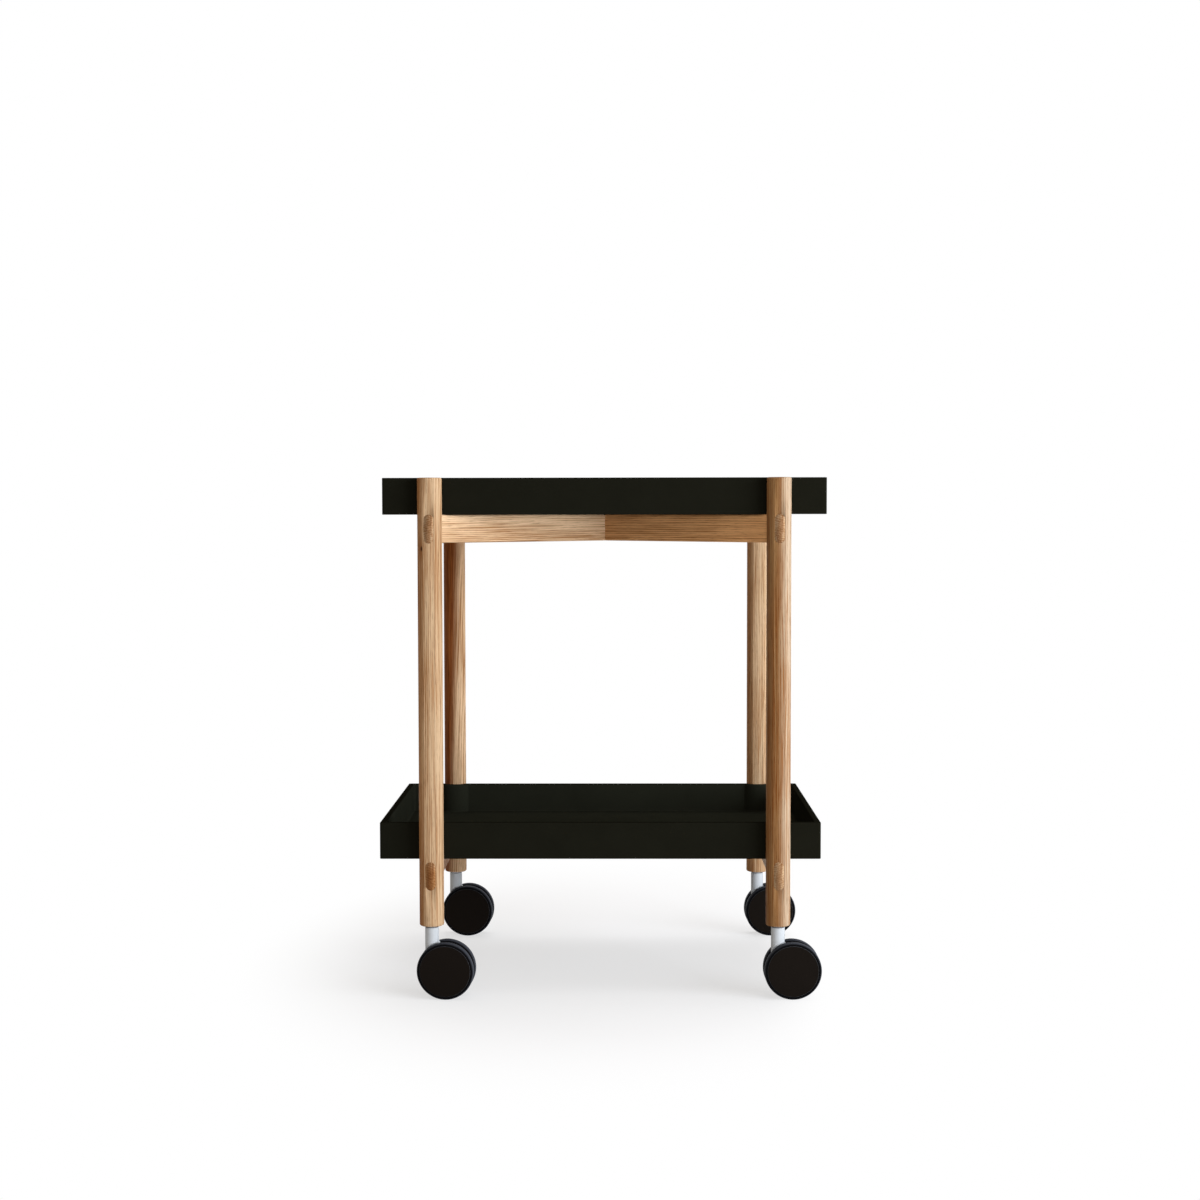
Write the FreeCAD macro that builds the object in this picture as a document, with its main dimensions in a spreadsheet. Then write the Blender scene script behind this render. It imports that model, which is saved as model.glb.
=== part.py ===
import FreeCAD, Part
import math
import os

import Sketcher
from FreeCAD import Placement, Rotation, Vector

# A two-tier serving trolley on four twin-wheel casters.
# Origin: on the floor, in the middle of the four legs. +X is the trolley's right, +Z is up and
# -Y is the side that faces the viewer.

# Driving dimensions in millimetres, turns in degrees, counts as they are
SIZES = {
    # Legs
    "leg_diameter": 32,
    "leg_length": 586,
    "leg_end_above_wheels": 21,
    "leg_outside_tray": 8,
    "leg_end_chamfer": 1.6,
    # Side rails and cross beams, cut from the same stock
    "rail_thickness": 13,
    "rail_height": 37,
    "rail_edge_round": 3,
    # Dowels that hold the cross beams in the legs
    "dowel_diameter": 8,
    "dowel_length": 40,
    "dowel_spacing": 18,
    # Trays
    "tray_length": 580,
    "tray_depth": 355,
    "tray_overhang": 63,
    "tray_height": 48,
    "tray_wall": 8,
    "tray_floor": 7,
    "tray_corner_round": 3,
    "tray_inner_round": 4,
    "tray_rim_chamfer": 0.6,
    "tray_leg_clearance": 1.5,
    "lower_tray_above_leg_end": 85.5,
    "lower_tray_shift": 6,
    # Socket in the end of each leg
    "socket_diameter": 13,
    "socket_length": 38,
    "socket_collar_diameter": 18,
    "socket_collar_thickness": 1.4,
    # Swivel pin with its thread, washer and snap ring
    "thread_diameter": 8,
    "thread_length": 30,
    "thread_end_room": 3,
    "pin_diameter": 9,
    "pin_length": 19,
    "washer_diameter": 16.4,
    "washer_thickness": 1.2,
    "ring_thickness": 1,
    "ring_width": 1.4,
    "ring_depth_in_pin": 0.7,
    "ring_opening": 3,
    "ring_above_pin_end": 1.8,
    "ring_play": 0.3,
    "running_clearance": 0.08,
    # Caster housing
    "stem_diameter": 18,
    "stem_top_chamfer": 0.8,
    "stem_bottom_above_axle": 10.5,
    "keel_thickness": 9.2,
    "keel_inside_stem": 1.5,
    "keel_boss_diameter": 19,
    "keel_wheel_clearance": 1.5,
    "caster_trail": 19,
    "bore_end_room": 1,
    # Wheels and axle
    "wheel_diameter": 75,
    "wheel_width": 11,
    "wheel_gap": 10,
    "tyre_thickness": 4,
    "core_edge_chamfer": 0.5,
    "core_rim_thickness": 4,
    "core_web_thickness": 3,
    "hub_diameter": 16,
    "rib_thickness": 1.6,
    "rib_setback": 2,
    "rib_count": 6,
    "tyre_shoulder_chamfer": 1.6,
    "axle_diameter": 6,
    "axle_length": 26.4,
    "axle_end_room": 0.8,
    # How far each caster is turned about its pin in the photograph
    "front_left_turn": -3.4,
    "front_right_turn": 0.9,
    "rear_left_turn": -2.9,
    "rear_right_turn": 2,
    # Distance that a cut runs past the faces it opens
    "cut_overrun": 5,
}

# Largest difference, in millimetres, between two places that are the same
SAME_PLACE = 0.001

doc = FreeCAD.newDocument("ServingTrolley")
sheet = doc.addObject("Spreadsheet::Sheet", "Sizes")
for row, (alias, size) in enumerate(SIZES.items(), start=1):
    sheet.set(f"A{row}", alias.replace("_", " "))
    sheet.set(f"B{row}", str(size))
    sheet.setAlias(f"B{row}", alias)
doc.recompute()

# Sizes that follow from the driving ones, as expressions
LEG_RADIUS = "Sizes.leg_diameter / 2"
LEGS_ACROSS = "(Sizes.tray_length - 2 * Sizes.tray_overhang)"
LEGS_DEEP = "(Sizes.tray_depth + 2 * Sizes.leg_outside_tray)"
HALF_ACROSS = f"{LEGS_ACROSS} / 2"
HALF_DEEP = f"{LEGS_DEEP} / 2"
DIAGONAL = f"hypot({LEGS_ACROSS}; {LEGS_DEEP})"
DIAGONAL_TURN = f"atan2({LEGS_DEEP}; {LEGS_ACROSS})"
LEG_END = "(Sizes.wheel_diameter + Sizes.leg_end_above_wheels)"
HALF_DOWEL_SPACING = "Sizes.dowel_spacing / 2"
UPPER_TRAY_BASE = f"({LEG_END} + Sizes.leg_length - Sizes.tray_height)"
LOWER_TRAY_BASE = f"({LEG_END} + Sizes.lower_tray_above_leg_end)"
RAIL_LEVELS = {
    "upper": f"({UPPER_TRAY_BASE} - Sizes.rail_height / 2)",
    "lower": f"({LOWER_TRAY_BASE} - Sizes.rail_height / 2)",
}
HOUSING_TOP = f"({LEG_END} - Sizes.socket_collar_thickness - Sizes.washer_thickness)"
PIN_BORE_RADIUS = "(Sizes.pin_diameter / 2 + Sizes.running_clearance)"
PIN_SHOULDER = f"({HOUSING_TOP} + Sizes.washer_thickness)"
PIN_END = f"({PIN_SHOULDER} - Sizes.pin_length)"
RING_FLOOR = f"({PIN_END} + Sizes.ring_above_pin_end)"
RING_INNER_RADIUS = "(Sizes.pin_diameter / 2 - Sizes.ring_depth_in_pin)"
RING_OUTER_RADIUS = f"({RING_INNER_RADIUS} + Sizes.ring_width)"
AXLE_HEIGHT = "Sizes.wheel_diameter / 2"
STEM_BOTTOM = f"({AXLE_HEIGHT} + Sizes.stem_bottom_above_axle)"
KEEL_REACH = "(Sizes.stem_diameter / 2 - Sizes.keel_inside_stem)"
CORE_RADIUS = "(Sizes.wheel_diameter / 2 - Sizes.tyre_thickness)"
WHEEL_FACE = "(Sizes.wheel_gap / 2 + Sizes.wheel_width)"

# The four corners: side (-1 left, +1 right), end (-1 front, +1 rear)
CORNERS = {
    "front_left": (-1, -1),
    "front_right": (1, -1),
    "rear_left": (-1, 1),
    "rear_right": (1, 1),
}

subparts = []


# Small helpers for the document

def value_of(expression):
    """The number that an expression stands for."""
    result = sheet.evalExpression(expression)
    return float(getattr(result, "Value", result))


def bind(thing, **expressions):
    """Bind properties of an object to expressions."""
    for name, expression in expressions.items():
        thing.setExpression(name, expression)


def new_body(label, x="0", y="0", z="0", turn="0"):
    """A sub-part, placed and turned about +Z."""
    body = doc.addObject("PartDesign::Body", label)
    body.Label = label
    body.Placement = Placement(Vector(), Rotation(Vector(0, 0, 1), value_of(turn)))
    body.setExpression("Placement.Base.x", x)
    body.setExpression("Placement.Base.y", y)
    body.setExpression("Placement.Base.z", z)
    body.setExpression("Placement.Rotation.Angle", turn)
    subparts.append(body)
    return body


def plane_of(body, role):
    """One of the body's own origin planes or axes."""
    return next(item for item in body.Origin.OriginFeatures if item.Role == role)


def new_sketch(body, name, role, lift="0", turn=None):
    """A sketch on an origin plane, raised along its normal; turn is about +Z of the body."""
    sketch = body.newObject("Sketcher::SketchObject", name)
    sketch.AttachmentSupport = [(plane_of(body, role), "")]
    sketch.MapMode = "FlatFace"
    if turn:
        upright = Vector(0, 0, 1) if role == "XY_Plane" else Vector(0, 1, 0)
        sketch.AttachmentOffset = Placement(Vector(), Rotation(upright, value_of(turn)))
        sketch.setExpression("AttachmentOffset.Rotation.Angle", turn)
    sketch.setExpression("AttachmentOffset.Base.z", lift)
    return sketch


def size_constraint(sketch, kind, *where, size):
    """A dimension of the sketch that follows an expression."""
    index = sketch.addConstraint(Sketcher.Constraint(kind, *where, value_of(size)))
    sketch.setExpression(f"Constraints[{index}]", size)


def fix_point(sketch, shape, point, x, y):
    """Hold a point of a shape at x, y from the sketch's origin."""
    if x == "0":
        sketch.addConstraint(Sketcher.Constraint("PointOnObject", shape, point, -2))
    else:
        size_constraint(sketch, "DistanceX", -1, 1, shape, point, size=x)
    if y == "0":
        sketch.addConstraint(Sketcher.Constraint("PointOnObject", shape, point, -1))
    else:
        size_constraint(sketch, "DistanceY", -1, 1, shape, point, size=y)


def add_circle(sketch, radius, x="0", y="0"):
    centre = Vector(value_of(x), value_of(y), 0)
    circle = sketch.addGeometry(Part.Circle(centre, Vector(0, 0, 1), value_of(radius)))
    size_constraint(sketch, "Radius", circle, size=radius)
    fix_point(sketch, circle, 3, x, y)


def add_outline(sketch, corners):
    """A closed outline of straight lines through corners, given as pairs of expressions."""
    places = [Vector(value_of(x), value_of(y), 0) for x, y in corners]
    lines = []
    for start, end in zip(places, places[1:] + places[:1]):
        lines.append(sketch.addGeometry(Part.LineSegment(start, end)))
    for line, following in zip(lines, lines[1:] + lines[:1]):
        sketch.addConstraint(Sketcher.Constraint("Coincident", line, 2, following, 1))
    for line, (x, y) in zip(lines, corners):
        fix_point(sketch, line, 1, x, y)


def add_rectangle(sketch, width, height, x="0", y="0"):
    """A rectangle about the point x, y."""
    left = f"{x} - {width} / 2"
    right = f"{x} + {width} / 2"
    low = f"{y} - {height} / 2"
    high = f"{y} + {height} / 2"
    add_outline(sketch, [(left, low), (right, low), (right, high), (left, high)])


def add_oblong(sketch, width, height, y="0"):
    """An upright oblong with full-round ends, its middle at height y."""
    radius = value_of(width) / 2
    top = value_of(f"{y} + ({height} - {width}) / 2")
    bottom = value_of(f"{y} - ({height} - {width}) / 2")
    up = Vector(0, 0, 1)
    upper = sketch.addGeometry(Part.ArcOfCircle(Part.Circle(Vector(0, top, 0), up, radius), 0, math.pi))
    left = sketch.addGeometry(Part.LineSegment(Vector(-radius, top, 0), Vector(-radius, bottom, 0)))
    lower = sketch.addGeometry(
        Part.ArcOfCircle(Part.Circle(Vector(0, bottom, 0), up, radius), math.pi, 2 * math.pi))
    right = sketch.addGeometry(Part.LineSegment(Vector(radius, bottom, 0), Vector(radius, top, 0)))
    outline = [upper, left, lower, right]
    for shape, following in zip(outline, outline[1:] + outline[:1]):
        sketch.addConstraint(Sketcher.Constraint("Tangent", shape, 2, following, 1))
    sketch.addConstraint(Sketcher.Constraint("Equal", upper, lower))
    size_constraint(sketch, "Radius", upper, size=f"{width} / 2")
    fix_point(sketch, upper, 3, "0", f"{y} + ({height} - {width}) / 2")
    fix_point(sketch, lower, 3, "0", f"{y} - ({height} - {width}) / 2")


def add_cap(sketch, radius, x, y, chord):
    """The part of a disc about x, y that lies beyond the level line chord."""
    centre = Vector(value_of(x), value_of(y), 0)
    reach = value_of(radius)
    start = math.asin((value_of(chord) - centre.y) / reach)
    end = math.pi - start
    if start < 0:
        start, end = math.pi - start, 2 * math.pi + start
    arc = sketch.addGeometry(Part.ArcOfCircle(Part.Circle(centre, Vector(0, 0, 1), reach), start, end))
    tips = sketch.Geometry[arc].StartPoint, sketch.Geometry[arc].EndPoint
    line = sketch.addGeometry(Part.LineSegment(tips[1], tips[0]))
    sketch.addConstraint(Sketcher.Constraint("Coincident", arc, 2, line, 1))
    sketch.addConstraint(Sketcher.Constraint("Coincident", line, 2, arc, 1))
    sketch.addConstraint(Sketcher.Constraint("Horizontal", line))
    size_constraint(sketch, "Radius", arc, size=radius)
    size_constraint(sketch, "DistanceY", -1, 1, line, 1, size=chord)
    fix_point(sketch, arc, 3, x, y)


def add_outside_of_arc(sketch, radius, end, y):
    """What lies beyond the outer half of a circle about 0, y, up to one diameter away."""
    sign = "+" if end > 0 else "-"
    centre = Vector(0, value_of(y), 0)
    reach = value_of(radius)
    first = 0 if end > 0 else math.pi
    arc = sketch.addGeometry(
        Part.ArcOfCircle(Part.Circle(centre, Vector(0, 0, 1), reach), first, first + math.pi))
    start = sketch.Geometry[arc].StartPoint
    finish = sketch.Geometry[arc].EndPoint
    away = Vector(0, 2 * reach * end, 0)
    inner = sketch.addGeometry(Part.LineSegment(finish, finish + away))
    cross = sketch.addGeometry(Part.LineSegment(finish + away, start + away))
    outer = sketch.addGeometry(Part.LineSegment(start + away, start))
    outline = [arc, inner, cross, outer]
    for shape, following in zip(outline, outline[1:] + outline[:1]):
        sketch.addConstraint(Sketcher.Constraint("Coincident", shape, 2, following, 1))
    sketch.addConstraint(Sketcher.Constraint("Vertical", inner))
    sketch.addConstraint(Sketcher.Constraint("Vertical", outer))
    sketch.addConstraint(Sketcher.Constraint("Horizontal", cross))
    size_constraint(sketch, "Radius", arc, size=radius)
    fix_point(sketch, arc, 3, "0", y)
    size_constraint(sketch, "DistanceY", -1, 1, arc, 1, size=y)
    size_constraint(sketch, "DistanceY", -1, 1, arc, 2, size=y)
    size_constraint(sketch, "DistanceY", -1, 1, cross, 1, size=f"{y} {sign} 2 * {radius}")


def add_feature(body, kind, name, sketch, reverse=False, side="One side", **sizes):
    """A Pad, Pocket, Revolution or Groove of a sketch."""
    feature = body.newObject(f"PartDesign::{kind}", name)
    feature.Profile = sketch
    if kind in ("Pad", "Pocket"):
        feature.SideType = side
        feature.Reversed = reverse
    bind(feature, **sizes)
    return feature


def pad(body, name, sketch, length, **options):
    return add_feature(body, "Pad", name, sketch, Length=length, **options)


def pocket(body, name, sketch, length, **options):
    """A cut, which must take something away."""
    doc.recompute()
    before = body.Shape.Volume
    feature = add_feature(body, "Pocket", name, sketch, Length=length, **options)
    doc.recompute()
    if not body.Shape.Volume < before:
        raise RuntimeError(f"{body.Label}: {name} cuts nothing")
    return feature


def revolve(body, kind, name, sketch, axis="V_Axis"):
    feature = add_feature(body, kind, name, sketch)
    feature.ReferenceAxis = (sketch, [axis])
    feature.Angle = 360
    return feature


def mirror(body, name, features, role):
    """The same features on the other side of an origin plane."""
    feature = body.newObject("PartDesign::Mirrored", name)
    feature.Originals = features
    feature.MirrorPlane = (plane_of(body, role), [""])
    body.Tip = feature
    return feature


def edge_names(feature, wanted):
    """Names of the feature's edges that pass a test."""
    doc.recompute()
    return [f"Edge{n}" for n, edge in enumerate(feature.Shape.Edges, start=1) if wanted(edge)]


def dress(body, kind, name, base, wanted, **sizes):
    """A Fillet or Chamfer of the base feature's edges that pass a test."""
    names = edge_names(base, wanted)
    if not names:
        raise RuntimeError(f"{body.Label}: {name} finds no edge")
    feature = body.newObject(f"PartDesign::{kind}", name)
    feature.Base = (base, names)
    bind(feature, **sizes)
    return feature


def same(first, second):
    return abs(first - second) < SAME_PLACE


def is_circle(edge):
    return edge.Curve.TypeId == "Part::GeomCircle"


def is_level(edge, height):
    """Whether an edge lies at one height."""
    box = edge.BoundBox
    return same(box.ZMin, height) and same(box.ZMax, height)


def runs_along(edge, direction):
    """Whether an edge is a straight line along a direction."""
    if edge.Curve.TypeId != "Part::GeomLine":
        return False
    return same(abs(edge.Curve.Direction.dot(direction)), 1)


def corner_place(corner):
    """Expressions for the place of a leg's axis."""
    side, end = CORNERS[corner]
    return f"{side} * {HALF_ACROSS}", f"{end} * {HALF_DEEP}"


# Legs: round stock with slots for the rail tenons, dowel holes and the caster's socket hole

def make_leg(corner):
    side, end = CORNERS[corner]
    x, y = corner_place(corner)
    # A leg on the right is turned half round, so that its dowel holes point to the middle
    body = new_body(f"leg_{corner}", x, y, LEG_END, "0" if side < 0 else "180")
    stock = new_sketch(body, "stock", "XY_Plane")
    add_circle(stock, LEG_RADIUS)
    round_bar = pad(body, "round_bar", stock, "Sizes.leg_length")
    dress(body, "Chamfer", "ends", round_bar, is_circle, Size="Sizes.leg_end_chamfer")

    socket_hole = new_sketch(body, "socket_hole", "XY_Plane")
    add_circle(socket_hole, "Sizes.socket_diameter / 2")
    pocket(body, "socket_bore", socket_hole, "Sizes.socket_length", reverse=True)

    slots = new_sketch(body, "slots", "XZ_Plane")
    for height in RAIL_LEVELS.values():
        place = f"{height} - {LEG_END}"
        add_oblong(slots, "Sizes.rail_thickness", "Sizes.rail_height", place)
    pocket(body, "tenon_slots", slots, "Sizes.leg_diameter + Sizes.cut_overrun", side="Symmetric")

    turn = DIAGONAL_TURN if side * end > 0 else f"-{DIAGONAL_TURN}"
    holes = new_sketch(body, "dowel_places", "YZ_Plane", turn=turn)
    middle = f"{RAIL_LEVELS['upper']} - {LEG_END}"
    for sign in "+-":
        add_circle(holes, "Sizes.dowel_diameter / 2", y=f"{middle} {sign} {HALF_DOWEL_SPACING}")
    cut_dowel_holes(body, holes)
    return body


def cut_dowel_holes(body, places):
    """Holes from a leg's surface to the dowels' ends beyond the leg's axis."""
    return pocket(body, "dowel_holes", places, LEG_RADIUS, reverse=True, side="Two sides",
                  Length2=f"Sizes.dowel_length / 2 - {LEG_RADIUS}")


# Side rails: they run from the front leg to the rear leg, with tenons right through both

def make_side_rail(level, side):
    name = "left" if side < 0 else "right"
    body = new_body(f"side_rail_{level}_{name}", f"{side} * {HALF_ACROSS}", "0", RAIL_LEVELS[level],
                    "0" if side < 0 else "180")
    section = new_sketch(body, "section", "XZ_Plane")
    add_rectangle(section, "Sizes.rail_thickness", "Sizes.rail_height")
    bar = pad(body, "bar", section, LEGS_DEEP, side="Symmetric")
    dress(body, "Fillet", "long_edges", bar, lambda edge: runs_along(edge, Vector(0, 1, 0)),
          Radius="Sizes.rail_edge_round")

    copes = new_sketch(body, "copes", "XY_Plane")
    for sign in (-1, 1):
        add_circle(copes, LEG_RADIUS, y=f"{sign} * {HALF_DEEP}")
    pocket(body, "shoulders", copes, "Sizes.rail_height + Sizes.cut_overrun", side="Symmetric")

    tenon_section = new_sketch(body, "tenon_section", "XZ_Plane")
    add_oblong(tenon_section, "Sizes.rail_thickness", "Sizes.rail_height")
    pad(body, "tenons", tenon_section, f"{LEGS_DEEP} + Sizes.leg_diameter", side="Symmetric")

    beyond_legs = new_sketch(body, "beyond_legs", "XY_Plane")
    for end in (-1, 1):
        add_outside_of_arc(beyond_legs, LEG_RADIUS, end, f"{end} * {HALF_DEEP}")
    pocket(body, "flush_ends", beyond_legs, "Sizes.rail_height + Sizes.cut_overrun", side="Symmetric")

    if level == "upper":
        places = new_sketch(body, "dowel_places", "YZ_Plane", turn=DIAGONAL_TURN)
        places.setExpression("AttachmentOffset.Base.x", f"-{HALF_DEEP}")
        for sign in "+-":
            add_circle(places, "Sizes.dowel_diameter / 2", y=f"0 {sign} {HALF_DOWEL_SPACING}")
        front_holes = cut_dowel_holes(body, places)
        mirror(body, "rear_dowel_holes", [front_holes], "XZ_Plane")
    return body


# Cross beams: from corner to corner under the upper tray, halved over each other in the middle

def make_cross_beam(name, sign):
    turn = DIAGONAL_TURN if sign > 0 else f"-{DIAGONAL_TURN}"
    body = new_body(name, z=RAIL_LEVELS["upper"], turn=turn)
    section = new_sketch(body, "section", "YZ_Plane")
    add_rectangle(section, "Sizes.rail_thickness", "Sizes.rail_height")
    bar = pad(body, "bar", section, DIAGONAL, side="Symmetric")
    dress(body, "Fillet", "long_edges", bar, lambda edge: runs_along(edge, Vector(1, 0, 0)),
          Radius="Sizes.rail_edge_round")

    copes = new_sketch(body, "copes", "XY_Plane")
    for end in (-1, 1):
        add_circle(copes, LEG_RADIUS, x=f"{end} * {DIAGONAL} / 2")
    pocket(body, "coped_ends", copes, "Sizes.rail_height + Sizes.cut_overrun", side="Symmetric")

    # The beam with the positive turn is cut from above, the other one from below
    halving = new_sketch(body, "halving", "XY_Plane", turn=f"-2 * ({turn})")
    add_rectangle(halving, "3 * Sizes.rail_thickness", "Sizes.rail_thickness")
    pocket(body, "half_lap", halving, "Sizes.rail_height / 2", reverse=sign > 0)

    places = new_sketch(body, "dowel_places", "YZ_Plane", lift=f"{DIAGONAL} / 2")
    for offset in "+-":
        add_circle(places, "Sizes.dowel_diameter / 2", y=f"0 {offset} {HALF_DOWEL_SPACING}")
    right_holes = pocket(body, "right_dowel_holes", places, f"{LEG_RADIUS} + Sizes.dowel_length / 2")
    mirror(body, "left_dowel_holes", [right_holes], "YZ_Plane")
    return body


def make_dowels():
    """The dowels of all four corners: two by two, half in the leg and half in the beam."""
    body = new_body("cross_dowels", z=RAIL_LEVELS["upper"])
    body.AllowCompound = True
    pairs = []
    for end in (-1, 1):
        name = "front" if end < 0 else "rear"
        turn = f"{-end} * {DIAGONAL_TURN}"
        places = new_sketch(body, f"{name}_places", "YZ_Plane", f"-{HALF_ACROSS}", turn)
        places.setExpression("AttachmentOffset.Base.x", f"{end} * {HALF_DEEP}")
        for sign in "+-":
            add_circle(places, "Sizes.dowel_diameter / 2", y=f"0 {sign} {HALF_DOWEL_SPACING}")
        pairs.append(pad(body, f"{name}_pair", places, f"{LEG_RADIUS} + Sizes.dowel_length / 2",
                         side="Two sides", Length2=f"Sizes.dowel_length / 2 - {LEG_RADIUS}"))
    mirror(body, "right_pairs", pairs, "YZ_Plane")
    return body


# Trays: one moulded piece each, whose long walls go inwards round the legs

def make_tray(name, base, shift):
    body = new_body(name, x=f"-{shift}", z=base)
    outline = new_sketch(body, "outline", "XY_Plane")
    add_rectangle(outline, "Sizes.tray_length", "Sizes.tray_depth")
    block = pad(body, "block", outline, "Sizes.tray_height")
    upright = Vector(0, 0, 1)
    dress(body, "Fillet", "corners", block, lambda edge: runs_along(edge, upright),
          Radius="Sizes.tray_corner_round")

    cavity = new_sketch(body, "cavity_outline", "XY_Plane", "Sizes.tray_floor")
    add_rectangle(cavity, "(Sizes.tray_length - 2 * Sizes.tray_wall)",
                  "(Sizes.tray_depth - 2 * Sizes.tray_wall)")
    pocket(body, "cavity", cavity, "Sizes.tray_height", reverse=True)

    recess_radius = f"({LEG_RADIUS} + Sizes.tray_leg_clearance)"
    legs = [(f"{side} * {HALF_ACROSS} + {shift}", end) for side in (-1, 1) for end in (-1, 1)]
    wraps = new_sketch(body, "wrap_outlines", "XY_Plane")
    for x, end in legs:
        chord = f"{end} * (Sizes.tray_depth - Sizes.tray_wall) / 2"
        add_cap(wraps, f"{recess_radius} + Sizes.tray_wall", x, f"{end} * {HALF_DEEP}", chord)
    pad(body, "wraps", wraps, "Sizes.tray_height")

    recesses = new_sketch(body, "recess_outlines", "XY_Plane")
    for x, end in legs:
        add_circle(recesses, recess_radius, x, f"{end} * {HALF_DEEP}")
    recess_cut = pocket(body, "recesses", recesses, "Sizes.tray_height", reverse=True)

    # Upright inner corners, then the edge round the floor
    inner_x = value_of("Sizes.tray_length / 2 - Sizes.tray_wall")
    inner_y = value_of("Sizes.tray_depth / 2 - Sizes.tray_wall")
    floor = value_of("Sizes.tray_floor")
    rim = value_of("Sizes.tray_height")

    def is_inner_corner(edge):
        box = edge.BoundBox
        if not (runs_along(edge, upright) and same(box.ZMin, floor)):
            return False
        return abs(box.XMin) < inner_x + SAME_PLACE and abs(box.YMin) < inner_y + SAME_PLACE

    softened = dress(body, "Fillet", "inner_corners", recess_cut, is_inner_corner,
                     Radius="Sizes.tray_inner_round")
    dress(body, "Fillet", "floor_edge", softened, lambda edge: is_level(edge, floor),
          Radius="Sizes.tray_inner_round")
    dress(body, "Chamfer", "rim", body.Tip, lambda edge: is_level(edge, rim),
          Size="Sizes.tray_rim_chamfer")
    return body


# Caster parts that stay with the leg

def make_socket(corner):
    """A threaded sleeve sunk in the leg, with a thin collar under the leg's end."""
    x, y = corner_place(corner)
    body = new_body(f"caster_socket_{corner}", x, y, LEG_END)
    section = new_sketch(body, "section", "XZ_Plane")
    thread = "Sizes.thread_diameter / 2"
    collar = "Sizes.socket_collar_diameter / 2"
    sleeve = "Sizes.socket_diameter / 2"
    bore_end = "Sizes.thread_length + Sizes.thread_end_room"
    under = "-Sizes.socket_collar_thickness"
    add_outline(section, [
        (thread, under),
        (collar, under),
        (collar, "0"),
        (sleeve, "0"),
        (sleeve, "Sizes.socket_length"),
        ("0", "Sizes.socket_length"),
        ("0", bore_end),
        (thread, bore_end),
    ])
    revolve(body, "Revolution", "sleeve", section)
    return body


def make_pin(corner):
    """The swivel pin: a threaded end for the socket and a plain journal with a ring groove."""
    x, y = corner_place(corner)
    body = new_body(f"caster_pin_{corner}", x, y)
    section = new_sketch(body, "section", "XZ_Plane")
    thread = "Sizes.thread_diameter / 2"
    thread_end = f"{LEG_END} + Sizes.thread_length"
    journal = "Sizes.pin_diameter / 2"
    ring_top = f"{RING_FLOOR} + Sizes.ring_thickness"
    add_outline(section, [
        ("0", PIN_END),
        (journal, PIN_END),
        (journal, RING_FLOOR),
        (RING_INNER_RADIUS, RING_FLOOR),
        (RING_INNER_RADIUS, ring_top),
        (journal, ring_top),
        (journal, PIN_SHOULDER),
        (thread, PIN_SHOULDER),
        (thread, thread_end),
        ("0", thread_end),
    ])
    revolve(body, "Revolution", "pin", section)
    return body


def make_washer(corner):
    """The thin dark washer that the housing's stem bears on."""
    x, y = corner_place(corner)
    body = new_body(f"caster_washer_{corner}", x, y, HOUSING_TOP)
    section = new_sketch(body, "section", "XY_Plane")
    add_circle(section, "Sizes.washer_diameter / 2")
    add_circle(section, PIN_BORE_RADIUS)
    pad(body, "washer", section, "Sizes.washer_thickness")
    return body


def make_snap_ring(corner):
    """An open ring in the pin's groove, which keeps the pin in the housing."""
    x, y = corner_place(corner)
    body = new_body(f"caster_snap_ring_{corner}", x, y, RING_FLOOR)
    section = new_sketch(body, "section", "XY_Plane")
    add_circle(section, RING_OUTER_RADIUS)
    add_circle(section, RING_INNER_RADIUS)
    pad(body, "ring", section, "Sizes.ring_thickness")
    gap = new_sketch(body, "gap", "XY_Plane")
    add_rectangle(gap, RING_OUTER_RADIUS, "Sizes.ring_opening", x=RING_OUTER_RADIUS)
    pocket(body, "opening", gap, "Sizes.ring_thickness", reverse=True)
    return body


# Caster parts that swivel

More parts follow.
